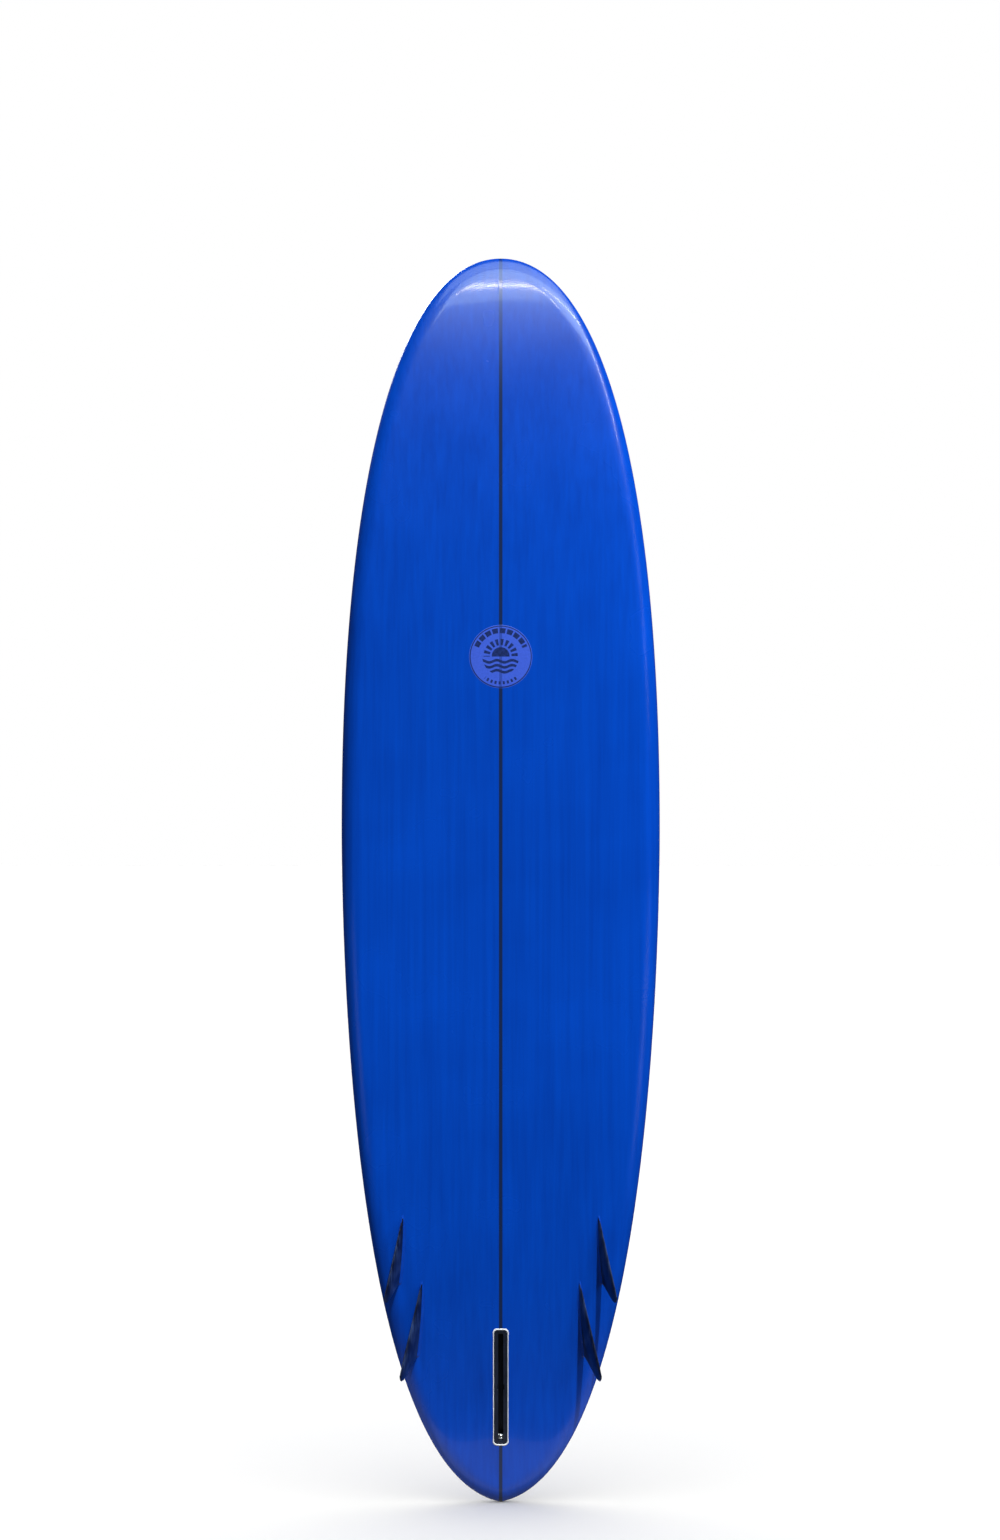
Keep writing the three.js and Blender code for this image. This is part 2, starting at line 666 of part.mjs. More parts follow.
// A fin's outline in its own plane: x along the base towards the tail, y out from the board.
function finEdges(fin) {
  const tip = fin.base + fin.rake;
  const leading = new THREE.CubicBezierCurve(
    new THREE.Vector2(0, 0),
    new THREE.Vector2(0.36 * tip, 0.38 * fin.height),
    new THREE.Vector2(0.82 * tip, 0.92 * fin.height),
    new THREE.Vector2(tip - 0.8 * FIN_TIP_CHORD, fin.height),
  );
  const trailing = new THREE.CubicBezierCurve(
    new THREE.Vector2(fin.base, 0),
    new THREE.Vector2(fin.base + 0.3 * fin.rake, 0.33 * fin.height),
    new THREE.Vector2(tip + 0.1 * FIN_TIP_CHORD, 0.72 * fin.height),
    new THREE.Vector2(tip - 0.1 * FIN_TIP_CHORD, fin.height - 0.6 * FIN_TIP_CHORD),
  );
  return { leading, trailing };
}

// One foil section between two edge points, grown all round by a margin. The section is closed.
function foilLoop(front, back, thickness, grow) {
  const loop = [];
  for (let i = 0; i <= FOIL_SIDES; i++) {
    const turn = (2 * Math.PI * i) / FOIL_SIDES;
    const along = (1 - Math.cos(turn)) / 2;
    const point = new THREE.Vector2().lerpVectors(front, back, along);
    const swell = (thickness / 2) * (1.2 - 0.4 * along) + grow;
    loop.push(new THREE.Vector3(point.x - grow * Math.cos(turn), point.y, swell * Math.sin(turn)));
  }
  return loop;
}

function endCap(loop) {
  const middle = new THREE.Vector3();
  loop.slice(1).forEach((p) => middle.addScaledVector(p, 1 / (loop.length - 1)));
  return loop.map(() => middle);
}

// A stack of sections closed with a cap at each end.
function loft(loops) {
  const first = endCap(loops[0]);
  const last = endCap(loops[loops.length - 1]);
  return solidOf(gridGeometry([first, ...loops, last], false));
}

// The fin's blade in its own plane, carried on below its base so that it can be trimmed there.
function blade(fin, grow) {
  const { leading, trailing } = finEdges(fin);
  const root = { front: leading.getPoint(0), back: trailing.getPoint(0) };
  const below = new THREE.Vector2(0, -CLEAR_OF_BOARD);
  const loops = [
    foilLoop(root.front.clone().add(below), root.back.clone().add(below), FIN_THICKNESS, grow),
  ];
  for (let i = 0; i <= FIN_ROWS; i++) {
    const t = i / FIN_ROWS;
    const thickness = FIN_THICKNESS * (1 - 0.55 * t ** 2);
    loops.push(foilLoop(leading.getPoint(t), trailing.getPoint(t), thickness, grow));
  }
  return loft(loops);
}

// The flared foot round a fin, as wide as its radius at the board and thin where it ends.
function flare(fin) {
  const { leading, trailing } = finEdges(fin);
  const lip = GAP + FILLET_LIP;
  const loops = [];
  for (let i = 0; i <= 4; i++) {
    const turn = (Math.PI / 2) * (i / 4);
    const height = FILLET_RADIUS * (1 - Math.cos(turn));
    const grow = lip + FILLET_RADIUS * (1 - Math.sin(turn));
    const share = height / fin.height;
    const front = leading.getPoint(share).setY(height);
    const back = trailing.getPoint(share).setY(height);
    if (i === 0) {
      const below = new THREE.Vector2(0, -CLEAR_OF_BOARD);
      loops.push(foilLoop(front.clone().add(below), back.clone().add(below), FIN_THICKNESS, grow));
    }
    loops.push(foilLoop(front, back, FIN_THICKNESS, grow));
  }
  return loft(loops);
}

// Where a fin's own plane sits: its base on the bottom, toed in and leaning out.
function finFrame(fin, side) {
  const toe = THREE.MathUtils.degToRad(fin.toe);
  const x = halfWidthAt(fin.fromTail) - fin.rail;
  const endX = x + fin.base * Math.sin(toe);
  const endZ = fin.fromTail - fin.base * Math.cos(toe);
  const start = surfacePoint("bottom", side * x, fin.fromTail);
  const end = surfacePoint("bottom", side * endX, endZ);
  const along = end.sub(start).normalize();
  const cant = THREE.MathUtils.degToRad(FIN_CANT);
  const lean = new THREE.Vector3(side * Math.sin(cant), -Math.cos(cant), 0);
  const up = lean.addScaledVector(along, -lean.dot(along)).normalize();
  const across = new THREE.Vector3().crossVectors(along, up);
  return new THREE.Matrix4().makeBasis(along, up, across).setPosition(start);
}

const outside = boardSolid(-GAP);

function sideFin(fin, side) {
  return placed(blade(fin, 0), finFrame(fin, side)).subtract(outside);
}

function finFillet(fin, side) {
  const ring = flare(fin).subtract(blade(fin, GAP));
  return placed(ring, finFrame(fin, side)).subtract(outside);
}

// ---------------------------------------------------------------- assembly

const finish = (color, roughness, metalness = 0) => ({ color, roughness, metalness });
const BLUE_RESIN = finish(0x0041b4, 0.35);
const DECK_RESIN = finish(0x0a4cbc, 0.35);
const FOAM = finish(0xf2efe4, 0.9);
const WOOD = finish(0x3a2c22, 0.7);
const BADGE_BLUE = finish(0x3c5ac8, 0.4);
const WHITE_RESIN = finish(0xf0f1f0, 0.3);
const BLACK_NYLON = finish(0x14171f, 0.5);
const STAINLESS = finish(0xc4c6c8, 0.3, 1);
const FIN_LAMINATE = finish(0x10182e, 0.35);
const FILLET_RESIN = finish(0x0b3d9c, 0.3);

const surfboard = new THREE.Group();

function addPart(name, solid, material) {
  const mesh = new THREE.Mesh(geometryOf(solid), new THREE.MeshStandardMaterial(material));
  mesh.name = name;
  surfboard.add(mesh);
}

addPart("foam_left", foamHalf(-1), FOAM);
addPart("foam_right", foamHalf(1), FOAM);
addPart("stringer", stringer(), WOOD);
addPart("bottom_glass", bottomGlass(), BLUE_RESIN);
addPart("deck_glass", deckGlass(), DECK_RESIN);
addPart("badge", badge(), BADGE_BLUE);
addPart("fin_box_resin", finBoxResin(), WHITE_RESIN);
addPart("fin_box", finBox(), BLACK_NYLON);
addPart("fin_plate", finPlate(), STAINLESS);
addPart("fin_screw", finScrew(), STAINLESS);
addPart("leash_resin", leashResin(), WHITE_RESIN);
addPart("leash_cup", leashCup(), BLACK_NYLON);
addPart("leash_bar", leashBar(), STAINLESS);

for (const [end, fin] of Object.entries({ front: FRONT_FIN, rear: REAR_FIN })) {
  for (const [hand, side] of Object.entries({ left: -1, right: 1 })) {
    addPart(`${end}_${hand}_fin`, sideFin(fin, side), FIN_LAMINATE);
    addPart(`${end}_${hand}_fillet`, finFillet(fin, side), FILLET_RESIN);
  }
}

export default surfboard;
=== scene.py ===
"""Looks of a round-nosed surfboard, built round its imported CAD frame.

The board stands on its tail: +Z runs from the tail tip to the nose, the bottom faces -Y and the
deck faces +Y. The frame gives the sizes and places of the fittings. One function, board_point,
gives every point of the board's surface, so skins, badge, fins and fillets all follow one shape.
"""

import json
import math

import bpy
import numpy as np
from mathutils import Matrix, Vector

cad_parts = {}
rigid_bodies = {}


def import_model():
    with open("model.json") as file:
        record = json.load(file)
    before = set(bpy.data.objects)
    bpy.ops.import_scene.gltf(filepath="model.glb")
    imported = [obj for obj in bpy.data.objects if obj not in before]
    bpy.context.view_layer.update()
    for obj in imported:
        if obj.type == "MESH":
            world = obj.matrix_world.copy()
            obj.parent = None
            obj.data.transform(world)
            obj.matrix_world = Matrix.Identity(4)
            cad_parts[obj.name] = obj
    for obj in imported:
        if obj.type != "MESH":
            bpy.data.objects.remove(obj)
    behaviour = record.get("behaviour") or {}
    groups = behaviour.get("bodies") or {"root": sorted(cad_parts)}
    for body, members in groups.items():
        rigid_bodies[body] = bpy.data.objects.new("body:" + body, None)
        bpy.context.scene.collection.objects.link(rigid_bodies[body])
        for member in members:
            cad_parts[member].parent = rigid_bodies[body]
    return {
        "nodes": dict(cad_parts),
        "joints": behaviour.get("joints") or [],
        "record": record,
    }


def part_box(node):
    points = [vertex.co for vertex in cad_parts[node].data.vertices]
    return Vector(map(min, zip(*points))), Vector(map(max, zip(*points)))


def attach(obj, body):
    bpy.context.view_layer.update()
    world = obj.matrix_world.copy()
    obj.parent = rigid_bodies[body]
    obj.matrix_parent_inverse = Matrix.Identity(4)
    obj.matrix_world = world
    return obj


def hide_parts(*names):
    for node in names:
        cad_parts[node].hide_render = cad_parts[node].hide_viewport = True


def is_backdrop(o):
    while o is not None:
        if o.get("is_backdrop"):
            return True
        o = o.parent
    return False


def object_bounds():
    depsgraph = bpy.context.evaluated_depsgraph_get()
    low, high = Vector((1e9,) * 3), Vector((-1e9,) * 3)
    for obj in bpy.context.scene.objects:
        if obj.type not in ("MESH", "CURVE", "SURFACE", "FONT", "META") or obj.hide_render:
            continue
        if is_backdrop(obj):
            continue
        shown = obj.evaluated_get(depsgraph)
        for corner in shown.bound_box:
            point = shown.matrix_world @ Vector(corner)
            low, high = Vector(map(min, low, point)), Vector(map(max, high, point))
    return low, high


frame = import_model()

bl_info = {
    "name": "Surfboard looks",
    "version": (1, 0, 0),
    "blender": (4, 5, 0),
    "location": "View3D > Sidebar > Surfboard",
    "description": "Builds the skins, fins, fittings and studio of a surfboard round its CAD frame",
    "category": "Object",
}

# ---------------------------------------------------------------- sizes shared by the pieces

MM = 0.001
CAD_LOW, CAD_HIGH = (np.array(corner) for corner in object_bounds())
LENGTH = CAD_HIGH[2] - CAD_LOW[2]
HALF_WIDTH = (CAD_HIGH[0] - CAD_LOW[0]) / 2

# Outline: two Bezier curves on each side that meet at the wide point.
WIDE_POINT = 1183 * MM
NOSE_RAIL_HANDLE = 657 * MM
NOSE_TIP_INSET = 112 * MM
TAIL_RAIL_HANDLE = 168 * MM
TAIL_TIP_INSET = 12 * MM
TAIL_TIP_SWEEP = 52 * MM
TAIL_FAN_CENTRE = 70 * MM
NOSE_FAN_CENTRE = 130 * MM

# Rocker and foil: rise or thickness at each end, and the power of the curve that leads to it.
ROCKER_LOW = 1005 * MM
NOSE_ROCKER, NOSE_ROCKER_POWER = 114 * MM, 3.1
TAIL_ROCKER, TAIL_ROCKER_POWER = 52 * MM, 2.2
THICKNESS, THICK_POINT = 73 * MM, 1136 * MM
NOSE_THICKNESS, NOSE_FOIL_POWER = 20 * MM, 1.4
TAIL_THICKNESS, TAIL_FOIL_POWER = 26 * MM, 1.1

# Section: a domed deck, a rolled lower rail and a shallow concave bottom.
RAIL_APEX_SHARE = 0.38
RAIL_ROLL = 30 * MM
DECK_DOME_POWER = 2.6
DECK_RAIL_POWER = 2.2
SINGLE_CONCAVE = 2.4 * MM
DOUBLE_CONCAVE = 2.2 * MM
CONCAVE_SPAN = 0.8
DOUBLE_CONCAVE_END = 620 * MM
DOUBLE_CONCAVE_RUN = 200 * MM

GLASS_THICKNESS = 1.5 * MM
RAIL_LAP = 42 * MM
LAP_GAP = 0.3 * MM

# Side fins: distance from the tail tip and in from the rail at the leading end, and their shape.
FRONT_FIN = {"from_tail": 507, "rail": 62, "base": 118, "height": 60, "rake": 27, "toe": 2.7}
REAR_FIN = {"from_tail": 392, "rail": 75, "base": 131, "height": 70, "rake": 34, "toe": 3.2}
FIN_CANT = math.radians(23)
FIN_THICKNESS = 6.5 * MM
FIN_TIP_CHORD = 18 * MM
FILLET_RADIUS = 4.5 * MM


def linear(code):
    """The linear colour of an sRGB hex code such as 0041b4."""
    srgb = np.array([int(code[i : i + 2], 16) for i in (0, 2, 4)]) / 255
    return tuple(np.where(srgb <= 0.04045, srgb / 12.92, ((srgb + 0.055) / 1.055) ** 2.4))


# ---------------------------------------------------------------- the board's surface


def smooth(low, high, value):
    """0 below low, 1 above high, and between them 3s^2 - 2s^3 of the share s of the way."""
    share = np.clip((value - low) / (high - low), 0, 1)
    return share * share * (3 - 2 * share)


def bezier(start, first, second, end, share):
    """Points of a cubic Bezier curve at the given shares, and the curve's directions there."""
    start, first, second, end = (np.array(p, float) for p in (start, first, second, end))
    t = np.asarray(share, float)[..., None]
    s = 1 - t
    point = s**3 * start + 3 * s**2 * t * first + 3 * s * t**2 * second + t**3 * end
    slope = s**2 * (first - start) + 2 * s * t * (second - first) + t**2 * (end - second)
    return point, slope / np.linalg.norm(slope, axis=-1, keepdims=True)


def rail_line(u):
    """The right rail from the tail tip (u = 0) by the wide point (0.5) to the nose tip (1).

    Gives the rail's x and z, the direction out of it, and the place on the stringer that its
    section line starts from, which runs evenly between the fan centres near the tips.
    """
    u = np.asarray(u, float)
    tail, tail_way = bezier(
        (0, 0),
        (HALF_WIDTH - TAIL_TIP_INSET, TAIL_TIP_SWEEP),
        (HALF_WIDTH, WIDE_POINT - TAIL_RAIL_HANDLE),
        (HALF_WIDTH, WIDE_POINT),
        np.clip(2 * u, 0, 1),
    )
    nose, nose_way = bezier(
        (HALF_WIDTH, WIDE_POINT),
        (HALF_WIDTH, WIDE_POINT + NOSE_RAIL_HANDLE),
        (HALF_WIDTH - NOSE_TIP_INSET, LENGTH),
        (0, LENGTH),
        np.clip(2 * u - 1, 0, 1),
    )
    on_tail = (u < 0.5)[..., None]
    point = np.where(on_tail, tail, nose)
    way = np.where(on_tail, tail_way, nose_way)
    at_tip = (u <= 0) | (u >= 1)
    out_x = np.where(at_tip, 0, way[..., 1])
    out_z = np.where(at_tip, -1 / np.where(at_tip, way[..., 0], 1), -way[..., 0])
    spine = TAIL_FAN_CENTRE + (LENGTH - TAIL_FAN_CENTRE - NOSE_FAN_CENTRE) * point[..., 1] / LENGTH
    return point[..., 0], point[..., 1], out_x, out_z, spine


def rocker(z):
    """Height of the bottom over its lowest place: rise times share of the way to a tip ^ power."""
    to_nose = np.clip((z - ROCKER_LOW) / (LENGTH - ROCKER_LOW), 0, None)
    to_tail = np.clip((ROCKER_LOW - z) / ROCKER_LOW, 0, None)
    return NOSE_ROCKER * to_nose**NOSE_ROCKER_POWER + TAIL_ROCKER * to_tail**TAIL_ROCKER_POWER


def thickness(z):
    """Thickness along the stringer: the end's, plus the rest times (1 - share^2) ^ power."""
    to_nose = np.clip((z - THICK_POINT) / (LENGTH - THICK_POINT), 0, 1)
    to_tail = np.clip((THICK_POINT - z) / THICK_POINT, 0, 1)
    nose = NOSE_THICKNESS + (THICKNESS - NOSE_THICKNESS) * (1 - to_nose**2) ** NOSE_FOIL_POWER
    tail = TAIL_THICKNESS + (THICKNESS - TAIL_THICKNESS) * (1 - to_tail**2) ** TAIL_FOIL_POWER
    return np.where(z > THICK_POINT, nose, tail)


def concave(away, z):
    """Depth of the bottom's hollow: (1 - a^2)^2 ahead, sin^2(pi a) on each side near the tail."""
    across = np.minimum(1, away / CONCAVE_SPAN)
    to_tail = smooth(0, DOUBLE_CONCAVE_END / 2, DOUBLE_CONCAVE_END - z)
    ends = smooth(0, DOUBLE_CONCAVE_END, np.minimum(z, LENGTH - z))
    single = SINGLE_CONCAVE * ends * (1 - across**2) ** 2
    double = DOUBLE_CONCAVE * np.sin(np.pi * across) ** 2
    return single * (1 - to_tail) + double * to_tail * np.minimum(1, z / DOUBLE_CONCAVE_RUN)


ORIGIN_HEIGHT = rocker(0.0) + RAIL_APEX_SHARE * thickness(0.0)


def board_point(u, share, on_deck, depth=0.0):
    """A point of the board's surface at a signed share of the way from stringer to rail.

    The deck's height is (1 - share^2.6)^(1/2.2) of the way up from the rail's apex, and the
    bottom's rises in a quarter circle over the last 30 mm, with the concave added. Both are
    moved in under the surface by depth.
    """
    x, z, out_x, out_z, spine = rail_line(u)
    away = np.minimum(1, np.abs(share))
    rail_x = x - depth * out_x
    rail_z = z - depth * out_z
    along = spine + (rail_z - spine) * away
    reach = np.hypot(rail_x, rail_z - spine)
    apex = RAIL_APEX_SHARE * thickness(along)
    dome = (1 - away**DECK_DOME_POWER) ** (1 / DECK_RAIL_POWER)
    deck = apex + (thickness(along) - apex - depth) * dome
    roll = np.minimum(RAIL_ROLL, 0.7 * reach) - depth
    turn = np.maximum(0, 1 - (1 - away) * reach / roll)
    lift = 1 - np.sqrt(np.maximum(0, 1 - turn**2))
    bottom = depth + (apex - depth) * lift + concave(away, along)
    height = rocker(along) + np.where(on_deck, deck, bottom) - ORIGIN_HEIGHT
    return np.stack(np.broadcast_arrays(rail_x * share, height, along), -1)


def halved(reached, wanted):
    """The u at which a rising function of u reaches the wanted value, by halving."""
    low = np.full(np.shape(wanted), 1e-5)
    high = 1 - low
    for _ in range(40):
        middle = (low + high) / 2
        short = reached(middle) < wanted
        low = np.where(short, middle, low)
        high = np.where(short, high, middle)
    return (low + high) / 2


def surface_height(x, z, on_deck=False):
    """The y of the board's surface over the given places across and along."""
    x, z = np.broadcast_arrays(np.asarray(x, float), np.asarray(z, float))

    def share_at(u):
        return np.abs(x) / np.maximum(1e-9, rail_line(u)[0])

    def reached(u):
        _, rail_z, _, _, spine = rail_line(u)
        return spine + (rail_z - spine) * share_at(u)

    u = halved(reached, z)
    return board_point(u, share_at(u), on_deck)[..., 1]


def half_width(z):
    """The rail's distance from the stringer at a place along the board."""
    return rail_line(halved(lambda u: rail_line(u)[1], np.asarray(z, float)))[0]


# ---------------------------------------------------------------- meshes from grids


def grid_faces(rows, columns, ring_rows=False, ring_columns=False):
    """The quads of a grid of points, joined end to end where a direction is a ring."""
    index = np.arange(rows * columns).reshape(rows, columns)
    if ring_rows:
        index = np.concatenate([index, index[:1]], axis=0)
    if ring_columns:
        index = np.concatenate([index, index[:, :1]], axis=1)
    corners = (index[:-1, :-1], index[:-1, 1:], index[1:, 1:], index[1:, :-1])
    return np.stack(corners, -1).reshape(-1, 4)


def welded(points, faces):
    """Joins points that coincide. Gives which points to keep, and the faces renumbered."""
    keys = np.round(points / (0.0005 * MM)).astype(np.int64)
    _, kept, same = np.unique(keys, axis=0, return_index=True, return_inverse=True)
    return kept, same.reshape(-1)[faces]


def skin_between(outer, inner, faces):
    """A closed skin: the outer surface, the inner one turned round, and a wall at free edges."""
    kept, faces = welded(outer, faces)
    count = len(kept)
    edges = np.stack([faces, np.roll(faces, -1, axis=1)], -1).reshape(-1, 2)
    edges = edges[edges[:, 0] != edges[:, 1]]
    _, first, uses = np.unique(np.sort(edges, axis=1), axis=0, return_index=True, return_counts=True)
    free = edges[first[uses == 1]]
    wall = np.stack([free[:, 1], free[:, 0], free[:, 0] + count, free[:, 1] + count], -1)
    points = np.concatenate([outer[kept], inner[kept]])
    return points, np.concatenate([faces, faces[:, ::-1] + count, wall])


def outward(points, faces):
    """The faces, turned round if the closed surface that they make is inside out."""
    a, b, c, d = (points[faces[:, i]] for i in range(4))
    volume = np.sum(np.cross(a, b) * c) + np.sum(np.cross(a, c) * d)
    return faces if volume > 0 else faces[:, ::-1]


def add_piece(name, points, faces, material, sharp=35):
    """Makes a closed mesh object. Quads whose corners meet at a pole or seam become triangles."""
    points = points.reshape(-1, 3)
    kept, faces = welded(points, faces)
    points = points[kept]
    faces = outward(points, faces)
    meeting = faces == np.roll(faces, -1, axis=1)
    whole = faces[meeting.sum(1) == 0]
    pinched = meeting.sum(1) == 1
    triangles = faces[pinched][~meeting[pinched]].reshape(-1, 3)
    mesh = bpy.data.meshes.new(name)
    mesh.from_pydata(points.tolist(), [], whole.tolist() + triangles.tolist())
    mesh.shade_smooth()
    mesh.set_sharp_from_angle(angle=math.radians(sharp))
    mesh.materials.append(material)
    piece = bpy.data.objects.new(name, mesh)
    bpy.context.scene.collection.objects.link(piece)
    return piece


def cut_out(piece, cutter, sharp=35):
    """Takes the cutter's solid out of a piece for good, and deletes the cutter."""
    modifier = piece.modifiers.new("cut", "BOOLEAN")
    modifier.operation = "DIFFERENCE"
    modifier.solver = "EXACT"
    modifier.object = cutter
    graph = bpy.context.evaluated_depsgraph_get()
    mesh = bpy.data.meshes.new_from_object(piece.evaluated_get(graph))
    piece.modifiers.clear()
    uncut, piece.data = piece.data, mesh
    bpy.data.meshes.remove(uncut)
    bpy.data.objects.remove(cutter)
    if len(piece.data.polygons) == 0:
        raise RuntimeError(f"nothing is left of {piece.name} after the cut")
    piece.data.set_sharp_from_angle(angle=math.radians(sharp))


def stand_for(piece, body, slot, *nodes):
    """Lets a piece ride on a body and stand for CAD nodes, which it hides. The slot is not used."""
    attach(piece, body)
    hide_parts(*nodes)
    return piece


# ---------------------------------------------------------------- frames of the fittings


class Seat:
    """A place on the board: its origin, and the directions across, in under the surface and along."""

    def __init__(self, origin, inwards, along):
        self.origin = np.array(origin, float)
        self.inwards = np.array(inwards, float) / np.linalg.norm(inwards)
        self.across = np.cross(self.inwards, along)
        self.across /= np.linalg.norm(self.across)
        self.along = np.cross(self.across, self.inwards)

    def place(self, across, depth, along):
        """Points from their distances across, inwards and along."""
        across, depth, along = np.broadcast_arrays(across, depth, along)
        return (
            self.origin
            + across[..., None] * self.across
            + depth[..., None] * self.inwards
            + along[..., None] * self.along
        )

    def surface_depth(self, across, along, on_deck=False):
        """How deep the board's surface lies under the seat's own plane at each place."""
        flat = self.place(across, 0.0, along)
        gap = surface_height(flat[..., 0], flat[..., 2], on_deck) - flat[..., 1]
        return gap * self.inwards[1]


def mount(name):
    """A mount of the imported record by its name."""
    return next(m for m in frame["record"]["mounts"] if m["name"] == name)


def joint(name):
    """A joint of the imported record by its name."""
    return next(j for j in frame["joints"] if j["name"] == name)


def middle_of(node):
    """The middle of a CAD node's box."""
    low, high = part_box(node)
    return np.array(low + high) / 2


# The fin box sits on the line from its slot's floor straight out to the bottom.
SLOT_FLOOR_DEPTH = 19.5 * MM
slot_out = np.array(mount("fin_slot_floor")["axis"])
BOX_SEAT = Seat(
    np.array(mount("fin_slot_floor")["pos_m"]) + slot_out * SLOT_FLOOR_DEPTH,
    -slot_out,
    joint("plate_slide")["axis"],
)

# The leash plug sits over the middle of its bar.
BAR_DEPTH = 4.6 * MM
plug_out = np.array(mount("leash_cup_rim")["axis"])
plug_out /= np.linalg.norm(plug_out)
PLUG_SEAT = Seat(middle_of("leash_bar") + plug_out * BAR_DEPTH, -plug_out, (0, 0, 1))


def lathe(seat, profile, sides=72, along=0.0):
    """A profile of (radius, depth) pairs carried round a seat's inward axis, closed at its ends."""
    radius, depth = np.array(profile, float).T * MM
    turn = np.linspace(0, 2 * np.pi, sides, endpoint=False)
    across = radius[:, None] * np.cos(turn)
    lengthways = along + radius[:, None] * np.sin(turn)
    points = seat.place(across, depth[:, None] + 0 * across, lengthways)
    return points, grid_faces(len(radius), sides, ring_columns=True)


# ---------------------------------------------------------------- materials


def add_node(tree, kind, inputs=None, **settings):
    """Adds a node, sets its properties, and sets or links each input by name or number."""
    node = tree.nodes.new(kind)
    for name, value in settings.items():
        setattr(node, name, value)
    for name, value in (inputs or {}).items():
        if isinstance(value, bpy.types.NodeSocket):
            tree.links.new(value, node.inputs[name])
        else:
            node.inputs[name].default_value = value
    return node


def new_material(name):
    """An empty node material with its shader and the piece's Object coordinates in metres."""
    material = bpy.data.materials.new(name)
    material.use_nodes = True
    tree = material.node_tree
    tree.nodes.clear()
    shader = add_node(tree, "ShaderNodeBsdfPrincipled")
    add_node(tree, "ShaderNodeOutputMaterial", {"Surface": shader.outputs[0]})
    place = add_node(tree, "ShaderNodeTexCoord").outputs["Object"]
    return material, tree, shader, place


def opaque(colour):
    """A colour with an alpha of one."""
    return (*colour, 1.0)


def link(tree, output, shader, name):
    """Links an output to one of a shader's inputs."""
    tree.links.new(output, shader.inputs[name])


def tinted_laminate(name, deep, pale, stringer, stringer_half):
    """Glass cloth in blue tinted polyester resin, sanded and polished.

    A hard clear surface over a saturated colour. Sanding leaves a haze round highlights, the
    squeegee leaves faint lengthwise streaks about 4 mm apart, the resin pools in clouds about
    150 mm across, and the stringer shows through as a dark line with soft edges. Towards the
    nose the line is painted paler, a painted highlight for the sheen that washes it out there.
    """
    material, tree, shader, place = new_material(name)
    clouds = add_node(tree, "ShaderNodeTexNoise", {"Vector": place, "Scale": 1 / 0.150, "Detail": 3.0})
    lengthwise = add_node(
        tree, "ShaderNodeMapping", {"Vector": place, "Scale": (1 / 0.009, 1 / 0.009, 1 / 0.5)}
    )
    streaks = add_node(
        tree,
        "ShaderNodeTexNoise",
        {"Vector": lengthwise.outputs[0], "Scale": 1.0, "Detail": 5.0, "Roughness": 0.65},
    )
    mottle = add_node(
        tree,
        "ShaderNodeMath",
        {0: clouds.outputs[0], 1: 0.55, 2: streaks.outputs[0]},
        operation="MULTIPLY_ADD",
    )
    share = add_node(
        tree,
        "ShaderNodeMapRange",
        {"Value": mottle.outputs[0], "From Min": 0.45, "From Max": 1.1},
    )
    tint = add_node(
        tree,
        "ShaderNodeMix",
        {0: share.outputs[0], 6: opaque(deep), 7: opaque(pale)},
        data_type="RGBA",
    )
    apart = add_node(tree, "ShaderNodeSeparateXYZ", {0: place})
    off_centre = add_node(tree, "ShaderNodeMath", {0: apart.outputs[0]}, operation="ABSOLUTE")
    line = add_node(
        tree,
        "ShaderNodeMapRange",
        {
            "Value": off_centre.outputs[0],
            "From Min": stringer_half + 0.9 * MM,
            "From Max": stringer_half - 0.7 * MM,
        },
        interpolation_type="SMOOTHSTEP",
    )
    # Painted highlight: towards the nose the stringer line fades to 0.6 of its strength, as if the
    # nose's sheen washed it out.
    nose_highlight_fade = add_node(
        tree,
        "ShaderNodeMapRange",
        {"Value": apart.outputs[2], "From Min": 1.92, "From Max": 2.12, "To Min": 1.0, "To Max": 0.6},
        interpolation_type="SMOOTHSTEP",
    )
    seen = add_node(
        tree, "ShaderNodeMath", {0: line.outputs[0], 1: nose_highlight_fade.outputs[0]}, operation="MULTIPLY"
    )
    lined = add_node(
        tree,
        "ShaderNodeMix",
        {0: seen.outputs[0], 6: tint.outputs[2], 7: opaque(stringer)},
        data_type="RGBA",
    )
    link(tree, lined.outputs[2], shader, "Base Color")
    haze = add_node(
        tree,
        "ShaderNodeMapRange",
        {"Value": clouds.outputs[0], "From Min": 0.3, "From Max": 0.7, "To Min": 0.25, "To Max": 0.28},
    )
    link(tree, haze.outputs[0], shader, "Roughness")
    shader.inputs["IOR"].default_value = 1.5
    shader.inputs["Coat Weight"].default_value = 0.4
    shader.inputs["Coat Roughness"].default_value = 0.06
    return material


def shaped_foam():
    """Polyurethane blank, shaped and sanded: matt cream with fine cells about 0.6 mm across."""
    material, tree, shader, place = new_material("shaped_foam")
    cells = add_node(tree, "ShaderNodeTexNoise", {"Vector": place, "Scale": 1 / 0.0006, "Detail": 2.0})
    tint = add_node(
        tree,
        "ShaderNodeMix",
        {0: cells.outputs[0], 6: opaque(linear("e6dfca")), 7: opaque(linear("f5f1e4"))},
        data_type="RGBA",
    )
    link(tree, tint.outputs[2], shader, "Base Color")
    bump = add_node(
        tree, "ShaderNodeBump", {"Height": cells.outputs[0], "Strength": 0.3, "Distance": 0.1 * MM}
    )
    link(tree, bump.outputs[0], shader, "Normal")
    shader.inputs["Roughness"].default_value = 0.9
    return material


